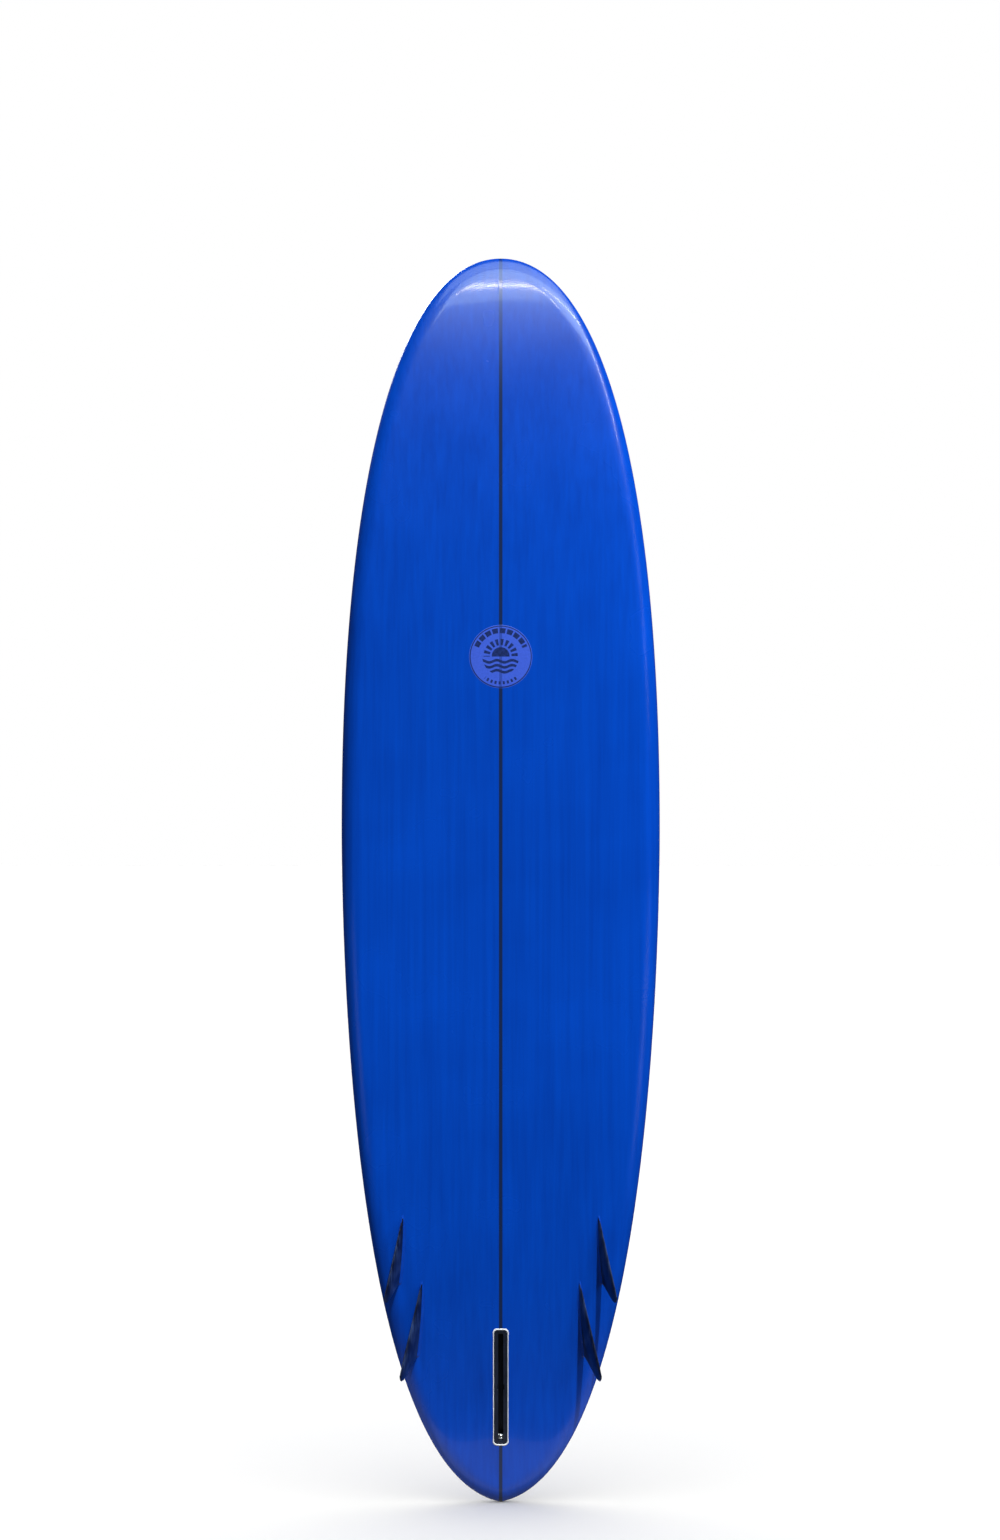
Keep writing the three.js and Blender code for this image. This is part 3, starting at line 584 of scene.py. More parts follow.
def stained_basswood():
    """A sawn basswood strip, stained dark: growth lines 1.5 mm apart that run along the board."""
    material, tree, shader, place = new_material("stained_basswood")
    sawn = add_node(
        tree, "ShaderNodeMapping", {"Vector": place, "Scale": (1 / 0.0015, 1 / 0.0015, 1 / 0.120)}
    )
    grain = add_node(
        tree, "ShaderNodeTexNoise", {"Vector": sawn.outputs[0], "Scale": 1.0, "Detail": 4.0}
    )
    tint = add_node(
        tree,
        "ShaderNodeMix",
        {0: grain.outputs[0], 6: opaque(linear("241a14")), 7: opaque(linear("5a4434"))},
        data_type="RGBA",
    )
    link(tree, tint.outputs[2], shader, "Base Color")
    shader.inputs["Roughness"].default_value = 0.7
    return material


def white_resin():
    """White pigmented polyester resin, poured and sanded: glossy, faintly uneven every 8 mm."""
    material, tree, shader, place = new_material("white_resin")
    pour = add_node(tree, "ShaderNodeTexNoise", {"Vector": place, "Scale": 1 / 0.008, "Detail": 3.0})
    tint = add_node(
        tree,
        "ShaderNodeMix",
        {0: pour.outputs[0], 6: opaque(linear("c9ced6")), 7: opaque(linear("fbfcfd"))},
        data_type="RGBA",
    )
    link(tree, tint.outputs[2], shader, "Base Color")
    bump = add_node(
        tree, "ShaderNodeBump", {"Height": pour.outputs[0], "Strength": 0.25, "Distance": 0.3 * MM}
    )
    link(tree, bump.outputs[0], shader, "Normal")
    shader.inputs["Roughness"].default_value = 0.22
    return material


def moulded_nylon(name, dark, pale):
    """Glass-filled nylon from a mould: near black, satin, with a grain of about 0.8 mm."""
    material, tree, shader, place = new_material(name)
    grain = add_node(tree, "ShaderNodeTexNoise", {"Vector": place, "Scale": 1 / 0.0008, "Detail": 2.0})
    wear = add_node(tree, "ShaderNodeTexNoise", {"Vector": place, "Scale": 1 / 0.012, "Detail": 4.0})
    tint = add_node(
        tree,
        "ShaderNodeMix",
        {0: wear.outputs[0], 6: opaque(dark), 7: opaque(pale)},
        data_type="RGBA",
    )
    link(tree, tint.outputs[2], shader, "Base Color")
    satin = add_node(
        tree, "ShaderNodeMapRange", {"Value": wear.outputs[0], "To Min": 0.28, "To Max": 0.46}
    )
    link(tree, satin.outputs[0], shader, "Roughness")
    bump = add_node(
        tree, "ShaderNodeBump", {"Height": grain.outputs[0], "Strength": 0.15, "Distance": 0.05 * MM}
    )
    link(tree, bump.outputs[0], shader, "Normal")
    return material


def turned_stainless():
    """Stainless steel, turned and tumbled: bright grey with tool marks about 0.5 mm apart."""
    material, tree, shader, place = new_material("turned_stainless")
    marks = add_node(tree, "ShaderNodeTexNoise", {"Vector": place, "Scale": 1 / 0.0005, "Detail": 3.0})
    tint = add_node(
        tree,
        "ShaderNodeMix",
        {0: marks.outputs[0], 6: opaque(linear("b4b7ba")), 7: opaque(linear("dcdedf"))},
        data_type="RGBA",
    )
    link(tree, tint.outputs[2], shader, "Base Color")
    polish = add_node(
        tree, "ShaderNodeMapRange", {"Value": marks.outputs[0], "To Min": 0.2, "To Max": 0.36}
    )
    link(tree, polish.outputs[0], shader, "Roughness")
    shader.inputs["Metallic"].default_value = 1.0
    return material


def fin_laminate(name, deep, pale):
    """Stacked glass cloth in dark navy resin, foiled by hand and glossed.

    Almost black, with the cloth's threads showing as pale lines. The threads are 1 mm apart and
    too fine to show from a distance, so they are drawn 3 mm apart.
    """
    material, tree, shader, place = new_material(name)
    threads = add_node(
        tree, "ShaderNodeMapping", {"Vector": place, "Scale": (1 / 0.003, 1 / 0.003, 1 / 0.060)}
    )
    weave = add_node(
        tree, "ShaderNodeTexNoise", {"Vector": threads.outputs[0], "Scale": 1.0, "Detail": 4.0}
    )
    patches = add_node(tree, "ShaderNodeTexNoise", {"Vector": place, "Scale": 1 / 0.030, "Detail": 3.0})
    both = add_node(
        tree,
        "ShaderNodeMath",
        {0: weave.outputs[0], 1: patches.outputs[0]},
        operation="MULTIPLY",
    )
    share = add_node(
        tree, "ShaderNodeMapRange", {"Value": both.outputs[0], "From Min": 0.2, "From Max": 0.42}
    )
    tint = add_node(
        tree,
        "ShaderNodeMix",
        {0: share.outputs[0], 6: opaque(deep), 7: opaque(pale)},
        data_type="RGBA",
    )
    link(tree, tint.outputs[2], shader, "Base Color")
    shader.inputs["Roughness"].default_value = 0.3
    shader.inputs["Coat Weight"].default_value = 0.3
    shader.inputs["Coat Roughness"].default_value = 0.1
    return material


def fillet_resin(deep, pale):
    """Glass rope in blue resin along a fin's foot: glossy, with strands about 2 mm apart."""
    material, tree, shader, place = new_material("fillet_resin")
    rope = add_node(
        tree, "ShaderNodeMapping", {"Vector": place, "Scale": (1 / 0.002, 1 / 0.002, 1 / 0.030)}
    )
    strands = add_node(
        tree, "ShaderNodeTexNoise", {"Vector": rope.outputs[0], "Scale": 1.0, "Detail": 3.0}
    )
    tint = add_node(
        tree,
        "ShaderNodeMix",
        {0: strands.outputs[0], 6: opaque(deep), 7: opaque(pale)},
        data_type="RGBA",
    )
    link(tree, tint.outputs[2], shader, "Base Color")
    shader.inputs["Roughness"].default_value = 0.2
    shader.inputs["Coat Weight"].default_value = 0.4
    shader.inputs["Coat Roughness"].default_value = 0.08
    return material


# The emblem's ink, one step at a time: a name, a maths operation and its values. A value may be
# the name of an earlier step. Lengths are shares of the badge's radius, angles are radians.
EMBLEM_STEPS = (
    ("above", "GREATER_THAN", "height", 0.0),
    ("sun", "COMPARE", "from_sun", 0.14, 0.14),
    ("half_sun", "MULTIPLY", "sun", "above"),
    ("spokes", "MULTIPLY", "sun_angle", 18.0),
    ("spoke_wave", "SINE", "spokes"),
    ("spoke", "GREATER_THAN", "spoke_wave", -0.2),
    ("ray_zone", "COMPARE", "from_sun", 0.44, 0.1),
    ("upper_rays", "MULTIPLY", "ray_zone", "above"),
    ("rays", "MULTIPLY", "upper_rays", "spoke"),
    ("swell_turn", "MULTIPLY", "across", 13.0),
    ("swell", "SINE", "swell_turn"),
    ("crest", "MULTIPLY_ADD", "swell", 0.035, "height"),
    ("crest_turn", "MULTIPLY_ADD", "crest", 40.0, 1.2),
    ("crest_wave", "SINE", "crest_turn"),
    ("crests", "GREATER_THAN", "crest_wave", -0.15),
    ("sea_zone", "COMPARE", "crest", -0.29, 0.23),
    ("inner", "LESS_THAN", "from_middle", 0.58),
    ("sea", "MULTIPLY", "crests", "sea_zone"),
    ("waves", "MULTIPLY", "sea", "inner"),
    ("rope_turn", "MULTIPLY", "angle", 22.0),
    ("rope_wave", "SINE", "rope_turn"),
    ("strand", "GREATER_THAN", "rope_wave", -0.75),
    ("off_top", "ABSOLUTE", "angle"),
    ("crown", "LESS_THAN", "off_top", 1.2),
    ("rope_zone", "COMPARE", "from_middle", 0.82, 0.08),
    ("rope", "MULTIPLY", "rope_zone", "strand"),
    ("crown_rope", "MULTIPLY", "rope", "crown"),
    ("foot", "GREATER_THAN", "off_top", 2.5),
    ("bead_turn", "MULTIPLY", "angle", 40.0),
    ("bead_wave", "SINE", "bead_turn"),
    ("bead", "GREATER_THAN", "bead_wave", 0.0),
    ("bead_zone", "COMPARE", "from_middle", 0.83, 0.05),
    ("beads", "MULTIPLY", "bead_zone", "bead"),
    ("foot_beads", "MULTIPLY", "beads", "foot"),
    ("rim", "COMPARE", "from_middle", 0.965, 0.016),
    ("sun_and_rays", "MAXIMUM", "half_sun", "rays"),
    ("picture", "MAXIMUM", "sun_and_rays", "waves"),
    ("borders", "MAXIMUM", "crown_rope", "foot_beads"),
    ("framed", "MAXIMUM", "picture", "borders"),
    ("marks", "MAXIMUM", "framed", "rim"),
    ("cover", "MULTIPLY_ADD", "fibres", 0.5, 0.62),
    ("ink", "MULTIPLY", "marks", "cover"),
    ("off_line", "ABSOLUTE", "across"),
    ("line", "LESS_THAN", "off_line", 0.045),
    ("faint_line", "MULTIPLY", "line", 0.4),
    ("print", "MAXIMUM", "ink", "faint_line"),
)


def printed_badge(centre, radius, paper, ink):
    """Printed tissue laid under clear resin: a violet-blue disc with a sun over waves in dark ink.

    The tissue goes clear in the resin, so fibres about 3 mm long show as faint mottling, and
    the stringer shows through as a faint line.
    """
    material, tree, shader, place = new_material("printed_badge")
    scale = 1 / radius
    centred = add_node(
        tree,
        "ShaderNodeMapping",
        {"Vector": place, "Location": (0, 0, -centre[2] * scale), "Scale": (scale, 0, scale)},
    ).outputs[0]
    fibres = add_node(tree, "ShaderNodeTexNoise", {"Vector": place, "Scale": 1 / 0.003, "Detail": 4.0})
    parts = add_node(tree, "ShaderNodeSeparateXYZ", {0: centred})
    values = {"fibres": fibres.outputs[0], "across": parts.outputs[0], "height": parts.outputs[2]}
    for prefix, middle in (("", (0, 0, 0)), ("sun_", (0, 0, 0.02))):
        away = add_node(tree, "ShaderNodeVectorMath", {0: centred, 1: middle}, operation="SUBTRACT")
        sides = add_node(tree, "ShaderNodeSeparateXYZ", {0: away.outputs[0]})
        reach = add_node(tree, "ShaderNodeVectorMath", {0: away.outputs[0]}, operation="LENGTH")
        turn = add_node(
            tree,
            "ShaderNodeMath",
            {0: sides.outputs[0], 1: sides.outputs[2]},
            operation="ARCTAN2",
        )
        values["from_sun" if prefix else "from_middle"] = reach.outputs["Value"]
        values[prefix + "angle"] = turn.outputs[0]
    for name, operation, *given in EMBLEM_STEPS:
        inputs = {i: values.get(v, v) for i, v in enumerate(given)}
        values[name] = add_node(tree, "ShaderNodeMath", inputs, operation=operation).outputs[0]
    paper = np.array(paper)
    tissue = add_node(
        tree,
        "ShaderNodeMix",
        {0: fibres.outputs[0], 6: opaque(paper * 0.8), 7: opaque(paper * 1.2)},
        data_type="RGBA",
    )
    printed = add_node(
        tree,
        "ShaderNodeMix",
        {0: values["print"], 6: tissue.outputs[2], 7: opaque(ink)},
        data_type="RGBA",
    )
    link(tree, printed.outputs[2], shader, "Base Color")
    shader.inputs["Roughness"].default_value = 0.27
    shader.inputs["Coat Weight"].default_value = 0.35
    shader.inputs["Coat Roughness"].default_value = 0.09
    return material


# ---------------------------------------------------------------- skins


def section_shares(u, flat=24, roll=22, rail=18):
    """Signed shares of one section's points, from the lap on the left round to the right one.

    Even steps over the flat, quarter-circle steps over the lower rail, and even turns round the
    deck's rail back to the lap line. Gives the shares and which points lie on the deck's side.
    """
    x, z, _, _, spine = rail_line(u)
    reach = np.hypot(x, z - spine)[:, None]
    roll_share = np.minimum(RAIL_ROLL, 0.7 * reach) / reach
    lap = lap_share(u)[:, None]
    start = np.arcsin(lap ** (DECK_DOME_POWER / 2))
    over_flat = np.linspace(0, 1, flat, endpoint=False) * (1 - roll_share)
    over_roll = 1 - roll_share * (1 - np.sin(np.linspace(0, np.pi / 2, roll)))
    turn = np.pi / 2 + (start - np.pi / 2) * np.linspace(0, 1, rail)[1:]
    over_rail = np.sin(turn) ** (2 / DECK_DOME_POWER)
    right = np.concatenate([over_flat, over_roll, over_rail], axis=1)
    deck = np.arange(right.shape[1]) >= flat + roll
    return np.concatenate([-right[:, :0:-1], right], axis=1), np.concatenate([deck[:0:-1], deck])


def lap_share(u):
    """The share at which the bottom skin, wrapped over the rail, ends on the deck."""
    x, z, _, _, spine = rail_line(u)
    return np.maximum(0.2, 1 - RAIL_LAP / np.hypot(x, z - spine))


def stations(count):
    """Places along the outline, at the same number of steps on its tail and nose curves."""
    return np.linspace(0, 1, count)


def wrapped_skin(name, material):
    """The bottom laminate with both rails: board_point over stations and section shares."""
    u = stations(271)
    shares, on_deck = section_shares(u)
    outer = board_point(u[:, None], shares, on_deck)
    inner = board_point(u[:, None], shares, on_deck, GLASS_THICKNESS)
    faces = grid_faces(*shares.shape)
    points, faces = skin_between(outer.reshape(-1, 3), inner.reshape(-1, 3), faces)
    return add_piece(name, points, faces, material)


def deck_skin(name, material):
    """The deck laminate inside the lap line: board_point over even shares up to the lap."""
    u = stations(181)
    x, z, _, _, spine = rail_line(u)
    edge = lap_share(u) - LAP_GAP / np.hypot(x, z - spine)
    shares = np.linspace(-1, 1, 81) * edge[:, None]
    outer = board_point(u[:, None], shares, True)
    inner = board_point(u[:, None], shares, True, GLASS_THICKNESS)
    faces = grid_faces(*shares.shape)
    points, faces = skin_between(outer.reshape(-1, 3), inner.reshape(-1, 3), faces)
    return add_piece(name, points, faces, material)


# ---------------------------------------------------------------- badge


def badge_disc(name, material):
    """A disc on the bottom: rings from the middle out, each point moved onto board_point."""
    low, high = (np.array(corner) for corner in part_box("badge"))
    centre, radius = (low + high) / 2, (high[0] - low[0]) / 2
    proud = 0.12 * MM
    rings = np.concatenate([np.linspace(0, 1, 16), [1.0, 0.99, 0.5, 0.0]]) * radius
    rings[15] -= 0.3 * MM
    depths = np.concatenate([np.full(16, -proud), [0.0, 0.3 * MM, 0.3 * MM, 0.3 * MM]])
    turn = np.linspace(0, 2 * np.pi, 96, endpoint=False)
    x = rings[:, None] * np.cos(turn)
    z = centre[2] + rings[:, None] * np.sin(turn)
    points = np.stack([x, surface_height(x, z) + depths[:, None], z], -1)
    faces = grid_faces(len(rings), len(turn), ring_columns=True)
    return add_piece(name, points, faces, material)


# ---------------------------------------------------------------- fin box

BOX_HALF_WIDTH = 11.8
BOX_HALF_LENGTH = 101.0
BOX_CORNER = 6.0
BOX_TOP_DEPTH = 0.5
BOX_RIM = 2.6
LIP_DEPTH = 1.1
SLOT_HALF_WIDTH = 4.35
SLOT_HALF_LENGTH = 95.0
GROOVE_HALF_WIDTH = 6.5
GROOVE_TOP_DEPTH = 5.9
GROOVE_FLOOR_DEPTH = 9.1
BOX_FLOOR_DEPTH = 22.5
BEAD_HALF_WIDTH = 14.8
BEAD_HALF_LENGTH = 104.0
BEAD_CORNER = 9.0
GATE_HALF_LENGTH = 5.0
GATE_CORNER = 0.5


def long_loop(half_width, half_length, corner, gate_width=None):
    """A rectangle with round corners as points (across, along), once round.

    Its two halves are the same half turned round: a straight side with extra points at the
    gate, where it may be wider, then two quarter circles with the end between them.
    """
    run = half_length - corner
    plain = np.linspace(GATE_HALF_LENGTH + GATE_CORNER, run, 14)
    gate = np.linspace(-GATE_HALF_LENGTH, GATE_HALF_LENGTH, 5)
    side = np.concatenate([-plain[::-1], gate, plain])
    widths = np.full(len(side), half_width)
    if gate_width is not None:
        widths[len(plain) : len(plain) + len(gate)] = gate_width
    turn = np.linspace(0, np.pi / 2, 8)
    inset = half_width - corner
    first = np.stack([inset + corner * np.cos(turn), run + corner * np.sin(turn)], -1)
    second = np.stack([-inset - corner * np.sin(turn), run + corner * np.cos(turn)], -1)
    half = np.concatenate([np.stack([widths, side], -1), first[1:], second[:-1]])
    return np.concatenate([half, -half])


def stacked_loops(loops, depths):
    """Points and faces of a closed solid through loops at given depths, in mm, on the box seat."""
    plan = np.array(loops) * MM
    depth = np.array([np.broadcast_to(d, plan.shape[1]) for d in depths]) * MM
    points = BOX_SEAT.place(plan[..., 0], depth, plan[..., 1])
    return points, grid_faces(*depth.shape, ring_columns=True)


def fin_channel(name, material):
    """The moulded fin box, as loops: underside, wall, rim, step, lips, slot, groove and floor."""

    def body(inset):
        return long_loop(BOX_HALF_WIDTH - inset, BOX_HALF_LENGTH - inset, BOX_CORNER - inset)

    def slot(width, length, gate=None):
        return long_loop(width, length, 1.0, gate)

    gate_width = GROOVE_HALF_WIDTH
    step = BOX_RIM
    rows = [
        (body(0) * 0, BOX_FLOOR_DEPTH),
        (body(0.6), BOX_FLOOR_DEPTH),
        (body(0), BOX_FLOOR_DEPTH - 0.6),
        (body(0), BOX_TOP_DEPTH + 0.35),
        (body(0.1), BOX_TOP_DEPTH + 0.1),
        (body(0.35), BOX_TOP_DEPTH),
        (body(step - 0.25), BOX_TOP_DEPTH),
        (body(step - 0.05), BOX_TOP_DEPTH + 0.08),
        (body(step), BOX_TOP_DEPTH + 0.25),
        (body(step + 0.05), LIP_DEPTH),
        (slot(SLOT_HALF_WIDTH + 0.4, SLOT_HALF_LENGTH + 0.4, gate_width + 0.4), LIP_DEPTH),
        (slot(SLOT_HALF_WIDTH + 0.1, SLOT_HALF_LENGTH + 0.1, gate_width + 0.1), LIP_DEPTH + 0.12),
        (slot(SLOT_HALF_WIDTH, SLOT_HALF_LENGTH, gate_width), LIP_DEPTH + 0.4),
        (slot(SLOT_HALF_WIDTH, SLOT_HALF_LENGTH, gate_width), GROOVE_TOP_DEPTH),
        (slot(GROOVE_HALF_WIDTH, SLOT_HALF_LENGTH), GROOVE_TOP_DEPTH + 0.01),
        (slot(GROOVE_HALF_WIDTH, SLOT_HALF_LENGTH), GROOVE_FLOOR_DEPTH),
        (slot(SLOT_HALF_WIDTH, SLOT_HALF_LENGTH), GROOVE_FLOOR_DEPTH + 0.01),
        (slot(SLOT_HALF_WIDTH, SLOT_HALF_LENGTH), SLOT_FLOOR_DEPTH / MM - 0.4),
        (slot(SLOT_HALF_WIDTH - 0.3, SLOT_HALF_LENGTH - 0.3), SLOT_FLOOR_DEPTH / MM),
        (slot(SLOT_HALF_WIDTH, SLOT_HALF_LENGTH) * 0, SLOT_FLOOR_DEPTH / MM),
    ]
    points, faces = stacked_loops(*zip(*rows))
    return add_piece(name, points, faces, material)


def resin_bed(name, material):
    """The resin bed: a cup round the box whose top bead is a low arch from board to box.

    The bead's outer edge wavers a little, as resin wiped by hand does: a sum of two sines of
    the turn round the box, up to 0.4 mm.
    """
    outer = long_loop(BEAD_HALF_WIDTH, BEAD_HALF_LENGTH, BEAD_CORNER)
    inner = long_loop(BOX_HALF_WIDTH + 0.1, BOX_HALF_LENGTH + 0.1, BOX_CORNER)
    turn = np.arctan2(outer[:, 1] / BEAD_HALF_LENGTH, outer[:, 0] / BEAD_HALF_WIDTH)
    waver = 0.22 * np.sin(7 * turn + 0.6) + 0.18 * np.sin(17 * turn)
    end_share = smooth(0.86, 1.0, np.abs(outer[:, 1]) / BEAD_HALF_LENGTH)
    narrowed = outer - (outer - inner) * ((0.5 * (1 - end_share) + 0.06 * waver)[:, None])
    foot_depth = BOX_SEAT.surface_depth(narrowed[:, 0] * MM, narrowed[:, 1] * MM) / MM
    arch = []
    for share in np.linspace(0, 1, 9):
        rise = 0.55 * np.sin(np.pi * share) ** 0.7
        level = foot_depth * (1 - share) + (BOX_TOP_DEPTH + 0.05) * share
        arch.append((narrowed * (1 - share) + inner * share, level - rise))
    rows = [
        (outer * 0, 24.3),
        (outer * 0.97, 24.3),
        (outer, 23.4),
        (outer, 3.2),
        (narrowed, foot_depth + 0.8),
        *arch,
        (inner, 22.8),
        (inner * 0, 22.8),
    ]
    points, faces = stacked_loops(*zip(*rows))
    return add_piece(name, points, faces, material)


def box_cutter(material):
    """The opening in the bottom laminate under the bead."""
    loop = long_loop(BEAD_HALF_WIDTH - 1.2, BEAD_HALF_LENGTH - 0.8, BEAD_CORNER - 1)
    rows = [(loop * 0, -8), (loop, -8), (loop, 26), (loop * 0, 26)]
    points, faces = stacked_loops(*zip(*rows))
    return add_piece("box_cutter", points, faces, material)


# ---------------------------------------------------------------- screw and plate

SCREW_HEAD_RADIUS = 3.9
SCREW_HEAD_TOP = 3.3
SCREW_HEAD_FLOOR = 5.9
SCREW_SHANK_RADIUS = 2.0
SCREW_TIP_DEPTH = 16.9
THREAD_PITCH = 0.7
THREAD_HEIGHT = 0.22


def screw_place():
    """How far along the slot the screw stands."""
    return float(np.dot(np.array(joint("screw_turn")["pos_m"]) - BOX_SEAT.origin, BOX_SEAT.along))


def pan_head_screw(name, material):
    """A screw as one profile of (radius, depth) carried round its axis.

    The top is an ellipse with a cross recess, 1.2 mm deep where |x| or |z| is under 0.55 mm and
    the radius under 2.6 mm. The shank's radius rises and falls once each 0.7 mm with the turn
    added, which makes the thread.
    """
    top = np.linspace(0, 1, 26)
    head_r = SCREW_HEAD_RADIUS * np.sin(top * np.pi / 2) ** 0.9
    head_d = SCREW_HEAD_TOP + 1.5 * (1 - np.sqrt(np.clip(1 - (head_r / SCREW_HEAD_RADIUS) ** 2, 0, 1)))
    shank_d = np.linspace(SCREW_HEAD_FLOOR, SCREW_TIP_DEPTH - 1.2, 90)
    radius = np.concatenate(
        [head_r, [SCREW_HEAD_RADIUS], np.full(90, SCREW_SHANK_RADIUS), [1.1, 0.0]]
    )
    depth = np.concatenate([head_d, [SCREW_HEAD_FLOOR], shank_d, [SCREW_TIP_DEPTH, SCREW_TIP_DEPTH]])
    turn = np.linspace(0, 2 * np.pi, 96, endpoint=False)
    phase = 2 * np.pi * depth[:, None] / THREAD_PITCH - turn
    threaded = (np.arange(len(depth)) > 27) & (np.arange(len(depth)) < len(depth) - 2)
    ridge = THREAD_HEIGHT * (np.abs((phase / np.pi) % 2 - 1) - 1) * threaded[:, None]
    radius = radius[:, None] + ridge
    across = radius * np.cos(turn)
    along = radius * np.sin(turn)
    cross = 1 - smooth(0.45, 0.65, np.minimum(np.abs(across), np.abs(along)))
    recess = 1.2 * cross * (1 - smooth(2.3, 2.7, radius)) * (np.arange(len(depth)) < 26)[:, None]
    points = BOX_SEAT.place(
        across * MM, (depth[:, None] + recess) * MM, screw_place() + along * MM
    )
    faces = grid_faces(*radius.shape, ring_columns=True)
    return add_piece(name, points, faces, material, sharp=50)


def threaded_plate(name, material):
    """The plate: loops from a rounded rectangle in to a round hole, over both faces."""
    low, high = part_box("fin_plate")
    half_width = (high[0] - low[0]) / 2 / MM
    half_length = 4.5
    top, floor = 6.2, 8.8
    turn = np.linspace(0, 2 * np.pi, 80, endpoint=False)

    def block(inset):
        """A superellipse of power 12, which is a rectangle with slightly round corners."""
        c, s = np.cos(turn), np.sin(turn)
        reach = (np.abs(c) ** 12 + np.abs(s) ** 12) ** (-1 / 12)
        return np.stack([(half_width - inset) * reach * c, (half_length - inset) * reach * s], -1)

    def hole(radius):
        return radius * np.stack([np.cos(turn), np.sin(turn)], -1)

    rows = [
        (block(0), floor - 0.3),
        (block(0), top + 0.3),
        (block(0.3), top),
        (hole(2.6), top),
        (hole(2.3), top + 0.3),
        (hole(2.3), floor - 0.3),
        (hole(2.6), floor),
        (block(0.3), floor),
    ]
    plan = np.array([row[0] for row in rows])
    depth = np.array([row[1] for row in rows])[:, None] + 0 * plan[..., 0]
    points = BOX_SEAT.place(plan[..., 0] * MM, depth * MM, screw_place() + plan[..., 1] * MM)
    faces = grid_faces(*depth.shape, ring_rows=True, ring_columns=True)
    return add_piece(name, points, faces, material)


# ---------------------------------------------------------------- leash plug


def leash_parts(cup_material, resin_material, steel):
    """The cup, its bar and its resin ring, each a profile carried round the plug's axis."""
    cup = [(0, 17), (12.6, 17), (13, 16.6), (13, 0.35), (12.85, 0.1), (12.5, 0)]
    cup += [(11.3, 0), (10.95, 0.1), (10.8, 0.4), (10.8, 4.2)]
    bowl = np.linspace(0, np.pi / 2, 14)[1:]
    cup += [(10.8 * math.cos(t), 4.2 + 10.6 * math.sin(t)) for t in bowl]
    ring = [(0, 18.9), (14.6, 18.9), (14.9, 18.5), (14.9, 0.9)]
    ring += [(14.9 - 1.7 * s, 0.25 - 0.3 * math.sin(math.pi * s)) for s in np.linspace(0, 1, 8)]
    ring += [(13.2, 17.3), (0, 17.3)]
    cup_piece = add_piece("leash_plug_cup", *lathe(PLUG_SEAT, cup), cup_material)
    ring_piece = add_piece("leash_plug_bed", *lathe(PLUG_SEAT, ring), resin_material)
    rod_piece = leash_rod("leash_plug_bar", steel)
    return [
        (cup_piece, "cup_plastic", "leash_cup"),
        (ring_piece, "white_resin", "leash_resin"),
        (rod_piece, "stainless", "leash_bar"),
    ]


def leash_rod(name, material):
    """A round bar across the cup: circles along it, closing to a point over 0.5 mm ends."""
    radius, half = 2.0, 12.4
    along = np.array([-half, -half, -half + 0.4, half - 0.4, half, half])
    radii = np.array([0, radius - 0.4, radius, radius, radius - 0.4, 0])
    turn = np.linspace(0, 2 * np.pi, 40, endpoint=False)
    depth = BAR_DEPTH / MM + radii[:, None] * np.cos(turn)
    points = PLUG_SEAT.place(
        (along[:, None] + 0 * depth) * MM, depth * MM, radii[:, None] * np.sin(turn) * MM
    )
    return add_piece(name, points, grid_faces(*depth.shape, ring_columns=True), material)


def plug_cutter(material):
    """The round opening in the skins under the leash plug's resin ring."""
    rows = [(0, -8), (14.4, -8), (14.4, 21), (0, 21)]
    return add_piece("plug_cutter", *lathe(PLUG_SEAT, rows, sides=64), material)


# ---------------------------------------------------------------- side fins


class FinPlane:
    """A side fin's own plane: its base on the bottom, toed in and leaning out, and its edges."""

    def __init__(self, fin, side):
        self.base = fin["base"] * MM
        self.height = fin["height"] * MM
        self.rake = fin["rake"] * MM
        start_z = fin["from_tail"] * MM
        toe = math.radians(fin["toe"])
        start_x = float(half_width(start_z)) - fin["rail"] * MM
        end_x = start_x + self.base * math.sin(toe)
        end_z = start_z - self.base * math.cos(toe)
        ends = [(side * start_x, start_z), (side * end_x, end_z)]
        start, end = (np.array([x, float(surface_height(x, z)), z]) for x, z in ends)
        self.origin = start
        self.along = (end - start) / np.linalg.norm(end - start)
        lean = np.array([side * math.sin(FIN_CANT), -math.cos(FIN_CANT), 0])
        lean -= self.along * np.dot(lean, self.along)
        self.up = lean / np.linalg.norm(lean)
        self.across = np.cross(self.along, self.up)

    def edges(self, share):
        """The leading and trailing edges at shares of the way up, as (along, up) points."""
        tip = self.base + self.rake
        leading, _ = bezier(
            (0, 0),
            (0.36 * tip, 0.38 * self.height),
            (0.82 * tip, 0.92 * self.height),
            (tip - 0.8 * FIN_TIP_CHORD, self.height),
            share,
        )
        trailing, _ = bezier(
            (self.base, 0),
            (self.base + 0.3 * self.rake, 0.33 * self.height),
            (tip + 0.1 * FIN_TIP_CHORD, 0.72 * self.height),
            (tip - 0.1 * FIN_TIP_CHORD, self.height - 0.6 * FIN_TIP_CHORD),
            share,
        )
        return leading, trailing

    def foil(self, front, back, thick, turn):
        """Points of foil sections between two edges, once round.

        Half the thickness is 0.9 of a foil, sqrt(c) (1 - c)^0.8, and 0.1 of an ellipse, which
        rounds the trailing edge. c is the share of the chord, in cosine steps.
        """
        c = (1 - np.cos(turn)) / 2
        edge = 2 * np.sqrt(np.clip(c * (1 - c), 0, None))
        half = 0.9 * 2.378 * np.sqrt(c) * np.clip(1 - c, 0, None) ** 0.8 + 0.1 * edge
        swell = np.sign(np.sin(turn)) * half * thick[:, None] / 2
        spot = front[:, None] + (back - front)[:, None] * c[:, None]
        return (
            self.origin
            + spot[..., :1] * self.along
            + spot[..., 1:] * self.up
            + swell[..., None] * self.across
        )


